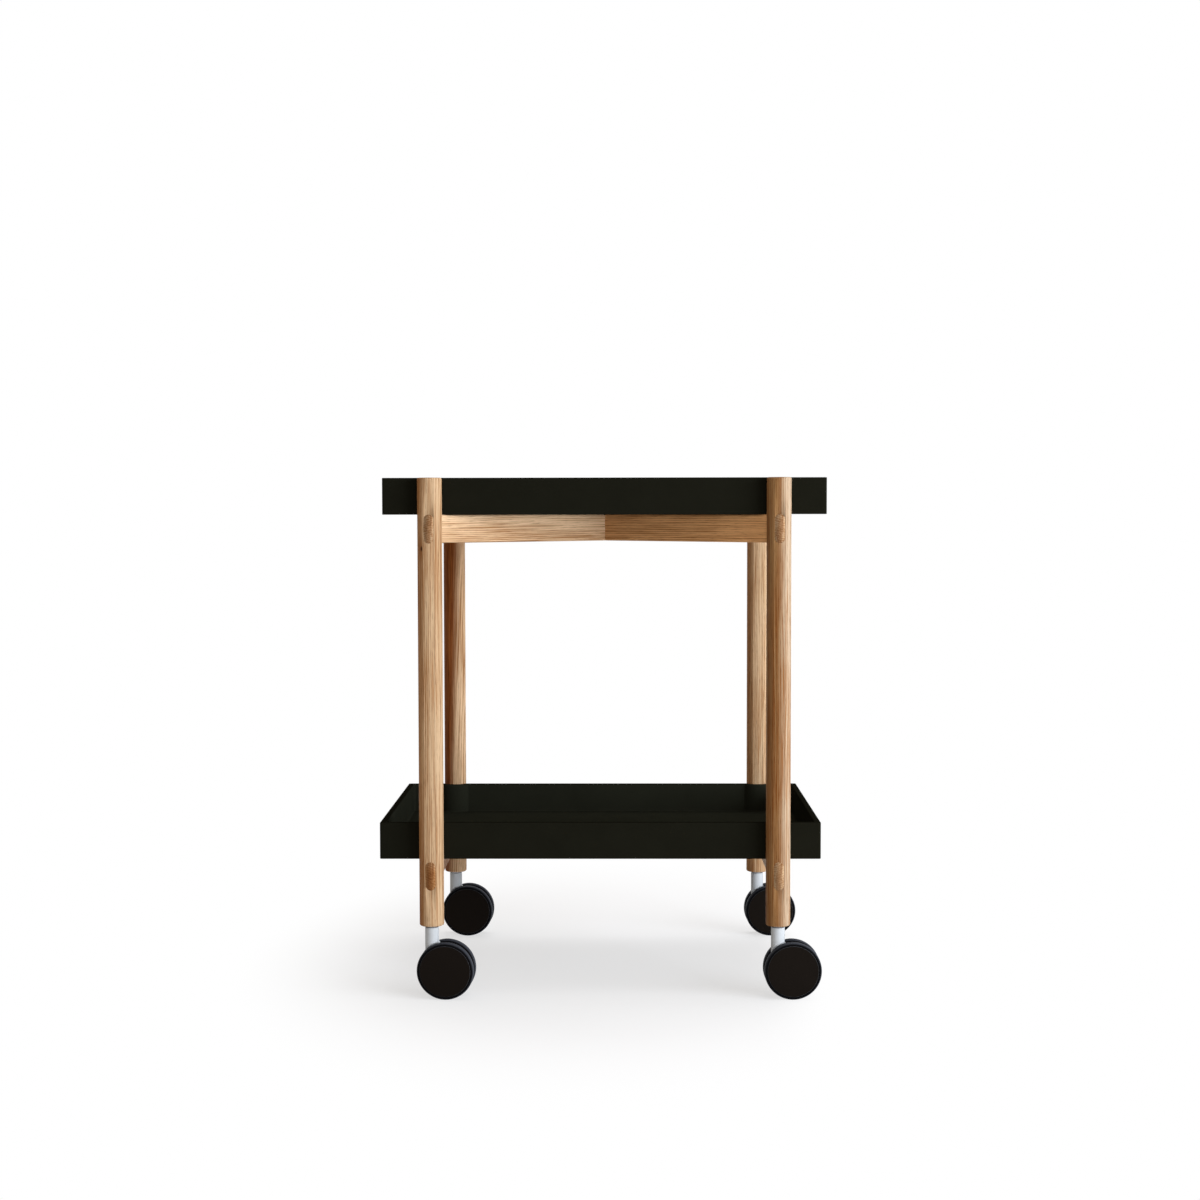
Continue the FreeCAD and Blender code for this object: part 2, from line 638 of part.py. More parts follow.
def make_housing(corner):
    """One casting: a round stem for the pin, flattened to a keel between the wheels."""
    x, y = corner_place(corner)
    body = new_body(f"caster_housing_{corner}", x, y, turn=f"Sizes.{corner}_turn")
    stem_outline = new_sketch(body, "stem_outline", "XY_Plane", STEM_BOTTOM)
    add_circle(stem_outline, "Sizes.stem_diameter / 2")
    stem = pad(body, "stem", stem_outline, f"{HOUSING_TOP} - {STEM_BOTTOM}")
    top = value_of(HOUSING_TOP)
    dress(body, "Chamfer", "stem_top", stem, lambda edge: is_level(edge, top),
          Size="Sizes.stem_top_chamfer")

    keel_outline = new_sketch(body, "keel_outline", "XZ_Plane")
    add_keel(keel_outline)
    pad(body, "keel", keel_outline, "Sizes.keel_thickness", side="Symmetric")

    # Room for the near wheel, then the same on the far side
    near_wheel = new_sketch(body, "near_wheel", "XZ_Plane", "Sizes.keel_thickness / 2")
    add_circle(near_wheel, f"{AXLE_HEIGHT} + Sizes.keel_wheel_clearance", "Sizes.caster_trail", AXLE_HEIGHT)
    near_room = pocket(body, "near_room", near_wheel, "Sizes.stem_diameter", reverse=True)
    mirror(body, "far_room", [near_room], "XZ_Plane")

    axle_hole = new_sketch(body, "axle_hole", "XZ_Plane")
    add_circle(axle_hole, "Sizes.axle_diameter / 2", "Sizes.caster_trail", AXLE_HEIGHT)
    pocket(body, "axle_bore", axle_hole, "Sizes.keel_thickness + Sizes.cut_overrun", side="Symmetric")

    # Bore for the pin, widened where the snap ring lies
    bore = new_sketch(body, "pin_bore_section", "XZ_Plane")
    ring_radius = f"{RING_OUTER_RADIUS} + Sizes.ring_play"
    ring_low = f"{RING_FLOOR} - Sizes.ring_play"
    ring_high = f"{RING_FLOOR} + Sizes.ring_thickness + Sizes.ring_play"
    bore_end = f"{PIN_END} - Sizes.bore_end_room"
    add_outline(bore, [
        ("0", bore_end),
        (PIN_BORE_RADIUS, bore_end),
        (PIN_BORE_RADIUS, ring_low),
        (ring_radius, ring_low),
        (ring_radius, ring_high),
        (PIN_BORE_RADIUS, ring_high),
        (PIN_BORE_RADIUS, f"{HOUSING_TOP} + Sizes.cut_overrun"),
        ("0", f"{HOUSING_TOP} + Sizes.cut_overrun"),
    ])
    doc.recompute()
    before = body.Shape.Volume
    revolve(body, "Groove", "pin_bore", bore)
    doc.recompute()
    if not body.Shape.Volume < before:
        raise RuntimeError(f"{body.Label}: the pin's bore cuts nothing")
    return body


def add_keel(sketch):
    """The keel's side view: a little narrower than the stem, drawn in to a round boss about the axle."""
    reach = value_of(KEEL_REACH)
    low = value_of(STEM_BOTTOM)
    keel_top = "Sizes.wheel_diameter + Sizes.keel_wheel_clearance"
    high = value_of(keel_top)
    boss = value_of("Sizes.keel_boss_diameter / 2")
    centre = Vector(value_of("Sizes.caster_trail"), value_of(AXLE_HEIGHT), 0)
    front_tip = centre + Vector(-boss * math.cos(math.pi / 3), -boss * math.sin(math.pi / 3), 0)
    back_tip = centre + Vector(boss * math.cos(math.pi / 6), boss * math.sin(math.pi / 6), 0)
    front = sketch.addGeometry(Part.LineSegment(Vector(-reach, high, 0), Vector(-reach, low, 0)))
    slope = sketch.addGeometry(Part.LineSegment(Vector(-reach, low, 0), front_tip))
    arc = sketch.addGeometry(Part.ArcOfCircle(
        Part.Circle(centre, Vector(0, 0, 1), boss), math.pi * 4 / 3, math.pi * 13 / 6))
    back = sketch.addGeometry(Part.LineSegment(back_tip, Vector(reach, high, 0)))
    top = sketch.addGeometry(Part.LineSegment(Vector(reach, high, 0), Vector(-reach, high, 0)))
    sketch.addConstraint(Sketcher.Constraint("Coincident", front, 2, slope, 1))
    sketch.addConstraint(Sketcher.Constraint("Tangent", slope, 2, arc, 1))
    sketch.addConstraint(Sketcher.Constraint("Tangent", arc, 2, back, 1))
    sketch.addConstraint(Sketcher.Constraint("Coincident", back, 2, top, 1))
    sketch.addConstraint(Sketcher.Constraint("Coincident", top, 2, front, 1))
    size_constraint(sketch, "Radius", arc, size="Sizes.keel_boss_diameter / 2")
    fix_point(sketch, arc, 3, "Sizes.caster_trail", AXLE_HEIGHT)
    fix_point(sketch, front, 1, f"-{KEEL_REACH}", keel_top)
    fix_point(sketch, slope, 1, f"-{KEEL_REACH}", STEM_BOTTOM)
    fix_point(sketch, top, 1, KEEL_REACH, keel_top)


def make_axle(corner):
    x, y = corner_place(corner)
    body = new_body(f"caster_axle_{corner}", x, y, turn=f"Sizes.{corner}_turn")
    section = new_sketch(body, "section", "XZ_Plane")
    add_circle(section, "Sizes.axle_diameter / 2", "Sizes.caster_trail", AXLE_HEIGHT)
    pad(body, "rod", section, "Sizes.axle_length", side="Symmetric")
    return body


# Wheels: a ribbed core with a flat outer disc, and a tyre round it

def new_wheel_body(label, corner, side):
    """A body at the middle of the axle, whose +Y points out through the wheel."""
    x, y = corner_place(corner)
    turn = f"Sizes.{corner}_turn"
    return new_body(label,
                    f"{x} + Sizes.caster_trail * cos({turn})",
                    f"{y} + Sizes.caster_trail * sin({turn})",
                    AXLE_HEIGHT,
                    turn if side == "far" else f"{turn} + 180")


def make_wheel_core(corner, side):
    body = new_wheel_body(f"wheel_core_{corner}_{side}", corner, side)
    section = new_sketch(body, "section", "XY_Plane")
    inner_face = "Sizes.wheel_gap / 2"
    bore = "Sizes.axle_diameter / 2 + Sizes.running_clearance"
    bore_end = "Sizes.axle_length / 2 + Sizes.axle_end_room"
    web = f"{WHEEL_FACE} - Sizes.core_web_thickness"
    hub = "Sizes.hub_diameter / 2"
    core = CORE_RADIUS
    rim = f"{core} - Sizes.core_rim_thickness"
    add_outline(section, [
        (bore, inner_face),
        (hub, inner_face),
        (hub, web),
        (rim, web),
        (rim, inner_face),
        (core, inner_face),
        (core, f"{WHEEL_FACE} - Sizes.core_edge_chamfer"),
        (f"{core} - Sizes.core_edge_chamfer", WHEEL_FACE),
        ("0", WHEEL_FACE),
        ("0", bore_end),
        (bore, bore_end),
    ])
    revolve(body, "Revolution", "core", section)

    # One rib between hub and rim, then its copies about the axle
    rib_outline = new_sketch(body, "rib_outline", "XZ_Plane", f"-({web})")
    start = f"({hub} - Sizes.rib_thickness)"
    end = f"({rim} + Sizes.rib_thickness)"
    add_rectangle(rib_outline, f"({end} - {start})", "Sizes.rib_thickness", x=f"({end} + {start}) / 2")
    rib = pad(body, "rib", rib_outline, f"{web} - {inner_face} - Sizes.rib_setback")
    ribs = body.newObject("PartDesign::PolarPattern", "ribs")
    ribs.Originals = [rib]
    ribs.Axis = (plane_of(body, "Y_Axis"), [""])
    ribs.Angle = 360
    bind(ribs, Occurrences="Sizes.rib_count")
    body.Tip = ribs
    return body


def make_tyre(corner, side):
    body = new_wheel_body(f"wheel_tyre_{corner}_{side}", corner, side)
    section = new_sketch(body, "section", "XY_Plane")
    inner = CORE_RADIUS
    outer = "Sizes.wheel_diameter / 2"
    face = "Sizes.wheel_gap / 2"
    add_outline(section, [
        (inner, face),
        (f"{outer} - Sizes.tyre_shoulder_chamfer", face),
        (outer, f"{face} + Sizes.tyre_shoulder_chamfer"),
        (outer, f"{WHEEL_FACE} - Sizes.tyre_shoulder_chamfer"),
        (f"{outer} - Sizes.tyre_shoulder_chamfer", WHEEL_FACE),
        (inner, WHEEL_FACE),
    ])
    revolve(body, "Revolution", "ring", section)
    return body


# The whole trolley

for corner in CORNERS:
    make_leg(corner)
for level in RAIL_LEVELS:
    for side in (-1, 1):
        make_side_rail(level, side)
make_cross_beam("cross_beam_front_left_rear_right", 1)
make_cross_beam("cross_beam_front_right_rear_left", -1)
make_dowels()
make_tray("tray_upper", UPPER_TRAY_BASE, "0")
make_tray("tray_lower", LOWER_TRAY_BASE, "Sizes.lower_tray_shift")
for corner in CORNERS:
    make_socket(corner)
    make_pin(corner)
    make_washer(corner)
    make_snap_ring(corner)
    make_housing(corner)
    make_axle(corner)
    for wheel_side in ("near", "far"):
        make_wheel_core(corner, wheel_side)
        make_tyre(corner, wheel_side)
doc.recompute()

# Every object must have been worked out, and every sub-part must be a sound solid
for item in doc.Objects:
    if "Invalid" in item.State or "Error" in item.State:
        raise RuntimeError(f"{item.Label} is {item.State}")
for body in subparts:
    if body.Shape.isNull() or not body.Shape.isValid():
        raise RuntimeError(f"{body.Label} has no valid shape")

os.makedirs("parts", exist_ok=True)
for body in subparts:
    body.Shape.exportStep(f"parts/{body.Label}.step")
    print(body.Label, round(body.Shape.Volume, 1), "mm3 in", len(body.Shape.Solids), "solids")
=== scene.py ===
# %% [markdown]
# # A serving trolley in oak and black
#
# The trolley has four round oak legs, two black trays whose long sides fold in round the legs, a pair of
# crossed beams under the upper tray and four twin-wheel casters. The solid parts come from a CAD model.
# This lesson keeps their sizes and places, builds finer pieces where the real thing has rounded edges, and
# gives everything a finish. The CAD boxes are read first, because every new piece has to stay inside them.

import math

import bmesh
import bpy
from mathutils import Matrix, Vector


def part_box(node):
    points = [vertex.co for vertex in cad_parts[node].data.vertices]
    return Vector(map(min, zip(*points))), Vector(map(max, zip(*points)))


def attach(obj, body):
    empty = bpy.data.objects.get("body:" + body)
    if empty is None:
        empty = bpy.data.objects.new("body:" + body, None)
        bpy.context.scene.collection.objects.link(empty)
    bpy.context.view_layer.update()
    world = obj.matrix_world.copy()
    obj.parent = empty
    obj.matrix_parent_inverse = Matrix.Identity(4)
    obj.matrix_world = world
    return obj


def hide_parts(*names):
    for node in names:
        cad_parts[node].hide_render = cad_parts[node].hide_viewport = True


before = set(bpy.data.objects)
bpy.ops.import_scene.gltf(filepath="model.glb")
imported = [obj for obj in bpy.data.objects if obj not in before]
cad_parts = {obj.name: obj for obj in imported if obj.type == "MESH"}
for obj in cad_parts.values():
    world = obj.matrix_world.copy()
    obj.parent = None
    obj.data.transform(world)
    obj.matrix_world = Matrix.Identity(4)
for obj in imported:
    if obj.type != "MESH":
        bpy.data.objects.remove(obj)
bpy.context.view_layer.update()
scene = bpy.context.scene
scene.view_settings.view_transform = "Standard"

# %% [markdown]
# ## The camera
#
# A product picture like this is taken from a little over two and a half metres with a longish lens, so
# that upright lines stay upright. The camera stands just below the level of the upper tray's rim and looks
# down by less than three degrees. Its turn is built from three plain rotations, which is easier to read
# than a quaternion: first the small roll, then the tilt, then the turn about the vertical.

# %% Camera
EYE = Vector((0.0168, -2.6475, 0.644))
TURN_LEFT, TILT_DOWN, ROLL = 0.0091, 0.0492, 0.0016

lens = bpy.data.cameras.new("photo_view")
lens.sensor_width = 36
lens.lens = 56.82
camera = bpy.data.objects.new("photo_view", lens)
scene.collection.objects.link(camera)
camera.matrix_world = (
    Matrix.Translation(EYE)
    @ Matrix.Rotation(TURN_LEFT, 4, "Z")
    @ Matrix.Rotation(math.pi / 2 - TILT_DOWN, 4, "X")
    @ Matrix.Rotation(-ROLL, 4, "Z")
)
scene.camera = camera
print("camera", [round(x, 3) for x in camera.location], "lens", round(lens.lens, 1))

# %% [markdown]
# ## Nodes without the typing
#
# Every material below is a small network of nodes. One helper adds a node, sets its options, and gives each
# input either a plain value or a wire from another node. Three short ones build on it for sums, because
# every pattern needs them.

# %% Node helpers
def put(tree, kind, inputs=None, **options):
    """Add a node; an input that is given a socket is wired to it."""
    node = tree.nodes.new(kind)
    for name, value in options.items():
        setattr(node, name, value)
    for place, value in (inputs or {}).items():
        if isinstance(value, bpy.types.NodeSocket):
            tree.links.new(value, node.inputs[place])
        else:
            node.inputs[place].default_value = value
    return node


def reckon(tree, operation, *values):
    """The result of a Math node."""
    return put(tree, "ShaderNodeMath", dict(enumerate(values)), operation=operation).outputs[0]


def reckon_vector(tree, operation, *values):
    """The vector that a Vector Math node gives."""
    return put(tree, "ShaderNodeVectorMath", dict(enumerate(values)), operation=operation).outputs[0]


def length_of(tree, vector):
    """How long a vector is."""
    return put(tree, "ShaderNodeVectorMath", {0: vector}, operation="LENGTH").outputs["Value"]

# %% [markdown]
# ## Noise, ranges and mixes
#
# A pattern is mostly noise, cut down to the part that matters and then used to mix two colours. The range
# that does the cutting eases in and out, so that no mark has a hard edge.

# %% Pattern helpers
def spread(tree, value, low, high, to_low=0.0, to_high=1.0):
    """Stretch the part of a value between low and high over a new range, with soft ends."""
    inputs = {"Value": value, "From Min": low, "From Max": high, "To Min": to_low, "To Max": to_high}
    return put(tree, "ShaderNodeMapRange", inputs, interpolation_type="SMOOTHSTEP").outputs["Result"]


def mixed(tree, share, first, second, blend="MIX"):
    """Two colours mixed by a share."""
    return put(tree, "ShaderNodeMix", {0: share, 6: first, 7: second},
               data_type="RGBA", blend_type=blend).outputs[2]


def noise(tree, vector, scale, detail=2.0):
    """Noise between 0 and 1."""
    inputs = {"Vector": vector, "Scale": scale, "Detail": detail, "Roughness": 0.55}
    return put(tree, "ShaderNodeTexNoise", inputs).outputs["Fac"]

# %% [markdown]
# ## One effect for many materials
#
# A node group is a network with sockets of its own. An effect that several materials share is built once as
# a group, and each material sets its own values on the group's inputs.

# %% Group helper
def new_group(name, inputs, outputs):
    """A shader node group with named inputs (label, kind, value) and outputs (label, kind)."""
    tree = bpy.data.node_groups.new(name, "ShaderNodeTree")
    for label, kind, value in inputs:
        socket = tree.interface.new_socket(label, in_out="INPUT", socket_type=f"NodeSocket{kind}")
        socket.default_value = value
    for label, kind in outputs:
        tree.interface.new_socket(label, in_out="OUTPUT", socket_type=f"NodeSocket{kind}")
    start = tree.nodes.new("NodeGroupInput")
    end = tree.nodes.new("NodeGroupOutput")
    return tree, start.outputs, end.inputs

# %% [markdown]
# ## Oak, as a block of wood and not as a picture of one
#
# A picture wrapped round a leg would show long grain on its end as well. Real timber is solid: its growth
# rings are cylinders round the pith, its pores are fine tubes along the grain, and a saw only uncovers
# them. So this group works in three dimensions. It moves the piece's own coordinates to the pith and turns
# them until the grain runs along Z. Then it lets them wander slowly from side to side, because no tree
# grows quite straight. What is squeezed along Z here comes out drawn long along the grain.

# %% Timber group
WANDER, WANDER_SCALE, WANDER_SQUEEZE = 0.013, 16.0, 0.16

timber, wood_inputs, wood_outputs = new_group(
    "oak_timber",
    [("Pith", "Vector", (0, 0, 0)), ("Grain Turn", "Vector", (0, 0, 0)), ("Ring Width", "Float", 0.0028),
     ("Heartwood Radius", "Float", 0.0), ("Heartwood Tint", "Color", (0.7, 0.58, 0.45, 1)),
     ("Knot", "Vector", (0, 0, -1)), ("Light Wood", "Color", (0.6, 0.4, 0.2, 1)),
     ("Dark Wood", "Color", (0.4, 0.2, 0.1, 1))],
    [("Color", "Color"), ("Roughness", "Float"), ("Height", "Float")],
)


def turned(vector):
    """A vector as the tree sees it, with the grain along Z."""
    return put(timber, "ShaderNodeVectorRotate", {"Vector": vector, "Rotation": wood_inputs["Grain Turn"]},
               rotation_type="EULER_XYZ").outputs[0]


def squeezed(vector, share):
    """A vector whose part along the grain is made smaller."""
    return reckon_vector(timber, "MULTIPLY", vector, (1, 1, share))


place = put(timber, "ShaderNodeTexCoord").outputs
in_tree = turned(reckon_vector(timber, "SUBTRACT", place["Object"], wood_inputs["Pith"]))
drift = put(timber, "ShaderNodeTexNoise", {"Vector": squeezed(in_tree, WANDER_SQUEEZE),
                                           "Scale": WANDER_SCALE, "Detail": 2.0})
drift = reckon_vector(timber, "SUBTRACT", drift.outputs["Color"], (0.5, 0.5, 0.5))
drift = reckon_vector(timber, "MULTIPLY", drift, (WANDER, WANDER, 0))
in_grain = reckon_vector(timber, "ADD", in_tree, drift)
print("the grain wanders by up to", 1000 * WANDER / 2, "mm to each side")

# %% [markdown]
# ## Rings, and heartwood that is partly painted shade
#
# The distance from the pith alone says which ring a point lies in. Divided by a ring's width, the whole
# part of it counts the rings and the rest is the season. Oak is ring-porous, which means that its open
# pores crowd in the spring wood, the first part of each ring. A little noise is added, because no two
# rings are equally wide. Nearer to the pith than the heartwood's radius the wood is a darker brown. The
# legs have their piths to the left, so this brown lies on their left, shaded side and is partly painted
# shade.

# %% Rings
UNEVEN_RINGS, UNEVEN_SCALE, UNEVEN_SQUEEZE = 1.2, 120.0, 0.05
SPRING_COMES, SPRING_GOES = (0.0, 0.14), (0.2, 0.75)
HEARTWOOD_AND_SHADE_BLUR = 0.007

from_pith = length_of(timber, squeezed(in_grain, 0))
rings = reckon(timber, "DIVIDE", from_pith, wood_inputs["Ring Width"])
uneven = noise(timber, squeezed(in_grain, UNEVEN_SQUEEZE), UNEVEN_SCALE)
rings = reckon(timber, "ADD", rings, reckon(timber, "MULTIPLY", uneven, UNEVEN_RINGS))
season = reckon(timber, "FRACT", rings)
rise = spread(timber, season, *SPRING_COMES)
fall = spread(timber, season, *SPRING_GOES, 1.0, 0.0)
spring = reckon(timber, "MULTIPLY", rise, fall)

# Heartwood mask; on the legs it covers the left, shaded side, so it is partly painted shade.
past_heart = reckon(timber, "SUBTRACT", from_pith, wood_inputs["Heartwood Radius"])
heartwood_and_shade = spread(timber, past_heart, -HEARTWOOD_AND_SHADE_BLUR, HEARTWOOD_AND_SHADE_BLUR, 1.0, 0.0)
print("rings and heartwood bring the group to", len(timber.nodes), "nodes")

# %% [markdown]
# ## Pores, fibres and a pin knot
#
# The same noise gives three kinds of marks, because only its scale and its squeeze along the grain differ.
# Pores are fine dark dashes, strongest in the spring wood. Fibres are soft streaks, and patches are light
# and dark stretches about as wide as a finger. A pin knot is a small dark spot that the darker fibres
# stream round, and its two pairs of radii are in metres.

# %% Pores, fibres and knot
PORE_SCALE, PORE_SQUEEZE, PORE_EDGE, SUMMER_PORES = 2300.0, 0.035, (0.52, 0.66), 0.18
FIBRE_SCALE, FIBRE_SQUEEZE = 520.0, 0.022
PATCH_SCALE, PATCH_SQUEEZE = 42.0, 0.14
KNOT_CORE, KNOT_EDGE, KNOT_SQUEEZE = 0.0005, 0.0024, 0.45
STREAM_CORE, STREAM_EDGE = 0.0015, 0.011

pores = noise(timber, squeezed(in_grain, PORE_SQUEEZE), PORE_SCALE, 1.0)
pores = reckon(timber, "MULTIPLY", spread(timber, pores, *PORE_EDGE),
               spread(timber, spring, 0.0, 0.8, SUMMER_PORES, 1.0))
fibres = noise(timber, squeezed(in_grain, FIBRE_SQUEEZE), FIBRE_SCALE, 5.0)
patches = noise(timber, squeezed(in_tree, PATCH_SQUEEZE), PATCH_SCALE)

from_knot = turned(reckon_vector(timber, "SUBTRACT", place["Object"], wood_inputs["Knot"]))
from_knot = length_of(timber, squeezed(from_knot, KNOT_SQUEEZE))
knot = spread(timber, from_knot, KNOT_CORE, KNOT_EDGE, 1.0, 0.0)
stream = spread(timber, from_knot, STREAM_CORE, STREAM_EDGE, 1.0, 0.0)
print("pores, fibres and knot bring it to", len(timber.nodes), "nodes")

# %% [markdown]
# ## Colour, gloss and relief of the wood
#
# All that darkens the wood is added up to one share, which mixes its light and its dark tone. Noise seldom
# leaves the middle third of its range, so that third is what gets stretched. Pores hold more oil and are
# browner still. So is end grain: where the surface faces along the grain, it soaks up more oil and goes
# darker. Pores are also duller than the wood between them, and lie a little deeper.

# %% Wood colour, gloss and relief
SPRING_SHARE, STREAM_SHARE, PORE_SHARE = 0.3, 0.45, 0.48
FIBRE_SHARE, PATCH_SHARE = (-0.1, 0.55), (-0.25, 0.25)
PORE_TINT, END_GRAIN_TINT, END_FACING = (0.42, 0.36, 0.3, 1), (0.52, 0.42, 0.34, 1), (0.55, 0.9)
KNOT_BROWN = (0.06, 0.025, 0.011, 1)
WOOD_GLOSS, PORE_DULLNESS = (0.42, 0.52), 0.2
FIBRE_HEIGHT, SPRING_DEPTH = 0.3, 0.15


def tinted(color, tint):
    """A colour with a tint over it."""
    return mixed(timber, 1.0, color, tint, "MULTIPLY")


darkness = reckon(timber, "ADD", reckon(timber, "MULTIPLY", spring, SPRING_SHARE),
                  spread(timber, fibres, 0.34, 0.66, *FIBRE_SHARE))
darkness = reckon(timber, "ADD", darkness, spread(timber, patches, 0.32, 0.68, *PATCH_SHARE))
darkness = reckon(timber, "ADD", darkness, reckon(timber, "MULTIPLY", stream, STREAM_SHARE))
wood = mixed(timber, darkness, wood_inputs["Light Wood"], wood_inputs["Dark Wood"])
wood = mixed(timber, reckon(timber, "MULTIPLY", pores, PORE_SHARE), wood,
             tinted(wood_inputs["Dark Wood"], PORE_TINT))
wood = mixed(timber, knot, wood, KNOT_BROWN)
# Heartwood tint, which on the legs is partly painted shade on their shaded sides.
wood = mixed(timber, heartwood_and_shade, wood, tinted(wood, wood_inputs["Heartwood Tint"]))
along_grain = put(timber, "ShaderNodeSeparateXYZ", {0: turned(place["Normal"])}).outputs["Z"]
end_grain = spread(timber, reckon(timber, "ABSOLUTE", along_grain), *END_FACING)
wood = mixed(timber, end_grain, wood, tinted(wood, END_GRAIN_TINT))
timber.links.new(wood, wood_outputs["Color"])

dullness = reckon(timber, "ADD", spread(timber, fibres, 0.3, 0.7, *WOOD_GLOSS),
                  reckon(timber, "MULTIPLY", pores, PORE_DULLNESS))
timber.links.new(dullness, wood_outputs["Roughness"])
depth = reckon(timber, "ADD", pores, reckon(timber, "MULTIPLY", spring, SPRING_DEPTH))
height = reckon(timber, "SUBTRACT", reckon(timber, "MULTIPLY", fibres, FIBRE_HEIGHT), depth)
timber.links.new(height, wood_outputs["Height"])
print("timber group has", len(timber.nodes), "nodes")

# %% [markdown]
# ## A skin for lacquer, moulded plastic, rubber and metal
#
# None of the other surfaces is perfectly even either. Lacquer has a faint orange peel, moulded plastic and
# rubber have the fine texture of their mould, and cast metal is slightly mottled. They differ only in the
# size and strength of the same thing, so one group serves them all: fine noise for relief, and a slow
# one that varies colour and gloss a little. The group also paints light into some surfaces: a painted sheen
# on the running surface of a tyre, a painted highlight on the rim of a disc, and painted light that lifts
# the shade inside a tray. A piece stores in an attribute how much painted light each of its points gets, and
# the group blends in the painted light colour there. A piece without that attribute gets no painted light.

# %% Skin group
CLOUD_SCALE = 28.0

skin, skin_inputs, skin_outputs = new_group(
    "fine_skin",
    [("Base Color", "Color", (0.5, 0.5, 0.5, 1)), ("Worn Color", "Color", (0.5, 0.5, 0.5, 1)),
     ("Mottle", "Float", 0.1), ("Gloss Low", "Float", 0.3), ("Gloss High", "Float", 0.4),
     ("Grain Size", "Float", 0.0005)],
    [("Color", "Color"), ("Roughness", "Float"), ("Height", "Float")],
)
place = put(skin, "ShaderNodeTexCoord").outputs["Object"]
peel = noise(skin, place, reckon(skin, "DIVIDE", 1.0, skin_inputs["Grain Size"]))
clouds = noise(skin, place, CLOUD_SCALE, 4.0)
uneven = reckon(skin, "SUBTRACT", reckon(skin, "ADD", clouds, peel), 1.0)
level = reckon(skin, "ADD", reckon(skin, "MULTIPLY", uneven, skin_inputs["Mottle"]), 1.0)
# Painted light: a lighter colour blended in where a piece asks for it, in place of sheen, highlights and
# light the lamps don't bring.
painted_light = put(skin, "ShaderNodeAttribute", attribute_name="painted_light").outputs["Fac"]
color = mixed(skin, painted_light, skin_inputs["Base Color"], skin_inputs["Worn Color"])
color = put(skin, "ShaderNodeVectorMath", {0: color, "Scale": level}, operation="SCALE").outputs[0]
skin.links.new(color, skin_outputs["Color"])
gloss = put(skin, "ShaderNodeMapRange", {"Value": clouds, "From Min": 0.3, "From Max": 0.7,
                                         "To Min": skin_inputs["Gloss Low"],
                                         "To Max": skin_inputs["Gloss High"]})
skin.links.new(gloss.outputs["Result"], skin_outputs["Roughness"])
skin.links.new(peel, skin_outputs["Height"])
print("skin group has", len(skin.nodes), "nodes")

# %% [markdown]
# ## Finishes
#
# Each finish joins one of the two groups to a Principled shader. Oak needs a pith and a grain direction of
# its own for every piece, because no two legs are cut from the same place in a tree. The numbers that are
# the same all over, such as how metallic a surface is, are set on the shader itself. The real finishes are
# matt. In a white room even a weak gloss would turn their edges milky, so their specular level is near zero.

# %% Oak finishes
LIGHT_OAK = (0.61, 0.43, 0.265, 1)
DARK_OAK = (0.33, 0.15, 0.052, 1)
# A pale tone that is partly painted light, for parts that get too little window light: the rear left leg and
# one beam.
PALE_OAK_AND_PAINTED_LIGHT = (0.78, 0.55, 0.345, 1)
RED_OAK = (0.76, 0.41, 0.18, 1)
# A greyer light tone that is partly a painted sheen: it pales the lit side of the front right leg.
GREY_OAK_AND_PAINTED_SHEEN = (0.54, 0.42, 0.30, 1)
# Heartwood tints: on the legs they darken the left, shaded side, so they are partly painted shade.
HEART_AND_SHADE_TINT = (0.75, 0.55, 0.37, 1)
RED_HEART_AND_SHADE_TINT = (0.57, 0.40, 0.23, 1)
# The deep tint, with the tilted grain of the rear left leg, paints the shadow under the beam and tray onto
# that leg's top.
DEEP_HEART_AND_SHADOW_TINT = (0.333, 0.15, 0.06, 1)
WOOD_RELIEF = 0.00012


def surface(name, group, group_inputs, relief, **shader_values):
    """A Principled material whose colour, roughness and relief come from a group."""
    material = bpy.data.materials.new(name)
    material.use_nodes = True
    tree = material.node_tree
    shader = tree.nodes["Principled BSDF"]
    pattern = put(tree, "ShaderNodeGroup", node_tree=group)
    for label, value in group_inputs.items():
        pattern.inputs[label].default_value = value
    tree.links.new(pattern.outputs["Color"], shader.inputs["Base Color"])
    tree.links.new(pattern.outputs["Roughness"], shader.inputs["Roughness"])
    bump = put(tree, "ShaderNodeBump", {"Height": pattern.outputs["Height"], "Distance": relief})
    tree.links.new(bump.outputs[0], shader.inputs["Normal"])
    for label, value in shader_values.items():
        shader.inputs[label.replace("_", " ")].default_value = value
    return material


def oak(name, pith, grain_turn=(0, 0, 0), heartwood_and_shade=0.0, tint=HEART_AND_SHADE_TINT, knot=(0, 0, -1),
        light=LIGHT_OAK, dark=DARK_OAK):
    """Oiled oak; the pith is a point that the tree's middle passes through."""
    inputs = {"Pith": pith, "Grain Turn": grain_turn, "Heartwood Radius": heartwood_and_shade, "Heartwood Tint": tint,
              "Knot": knot, "Light Wood": light, "Dark Wood": dark}
    return surface(name, timber, inputs, WOOD_RELIEF, Specular_IOR_Level=0.04)


beech = oak("beech_dowel", (0.3, 0.1, 0.5), (math.pi / 2, -math.pi / 4, 0),
            light=(0.72, 0.53, 0.35, 1), dark=(0.58, 0.38, 0.22, 1))
print("made", beech.name, "for the dowels; the oak pieces get theirs as they are made")

# %% [markdown]
# ## Lacquer, plastic, rubber and metal
#
# These finishes give the skin group its numbers: the colour, how much it varies, the lowest and highest
# roughness, and the size of the grain. A bare metal is fully metallic, so its colour is the colour of its
# reflections. The black things are written almost black, and it is the light of the white room that makes
# them look dark grey.

# %% Other finishes
def skinned(name, color, mottle, gloss, grain_size, relief, painted_light=(0, 0, 0), **shader_values):
    """A finish on the shared skin; gloss is its lowest and highest roughness, and its second colour is
    painted light.
    """
    inputs = {"Base Color": (*color, 1), "Worn Color": (*painted_light, 1), "Mottle": mottle, "Gloss Low": gloss[0],
              "Gloss High": gloss[1], "Grain Size": grain_size}
    return surface(name, skin, inputs, relief, **shader_values)
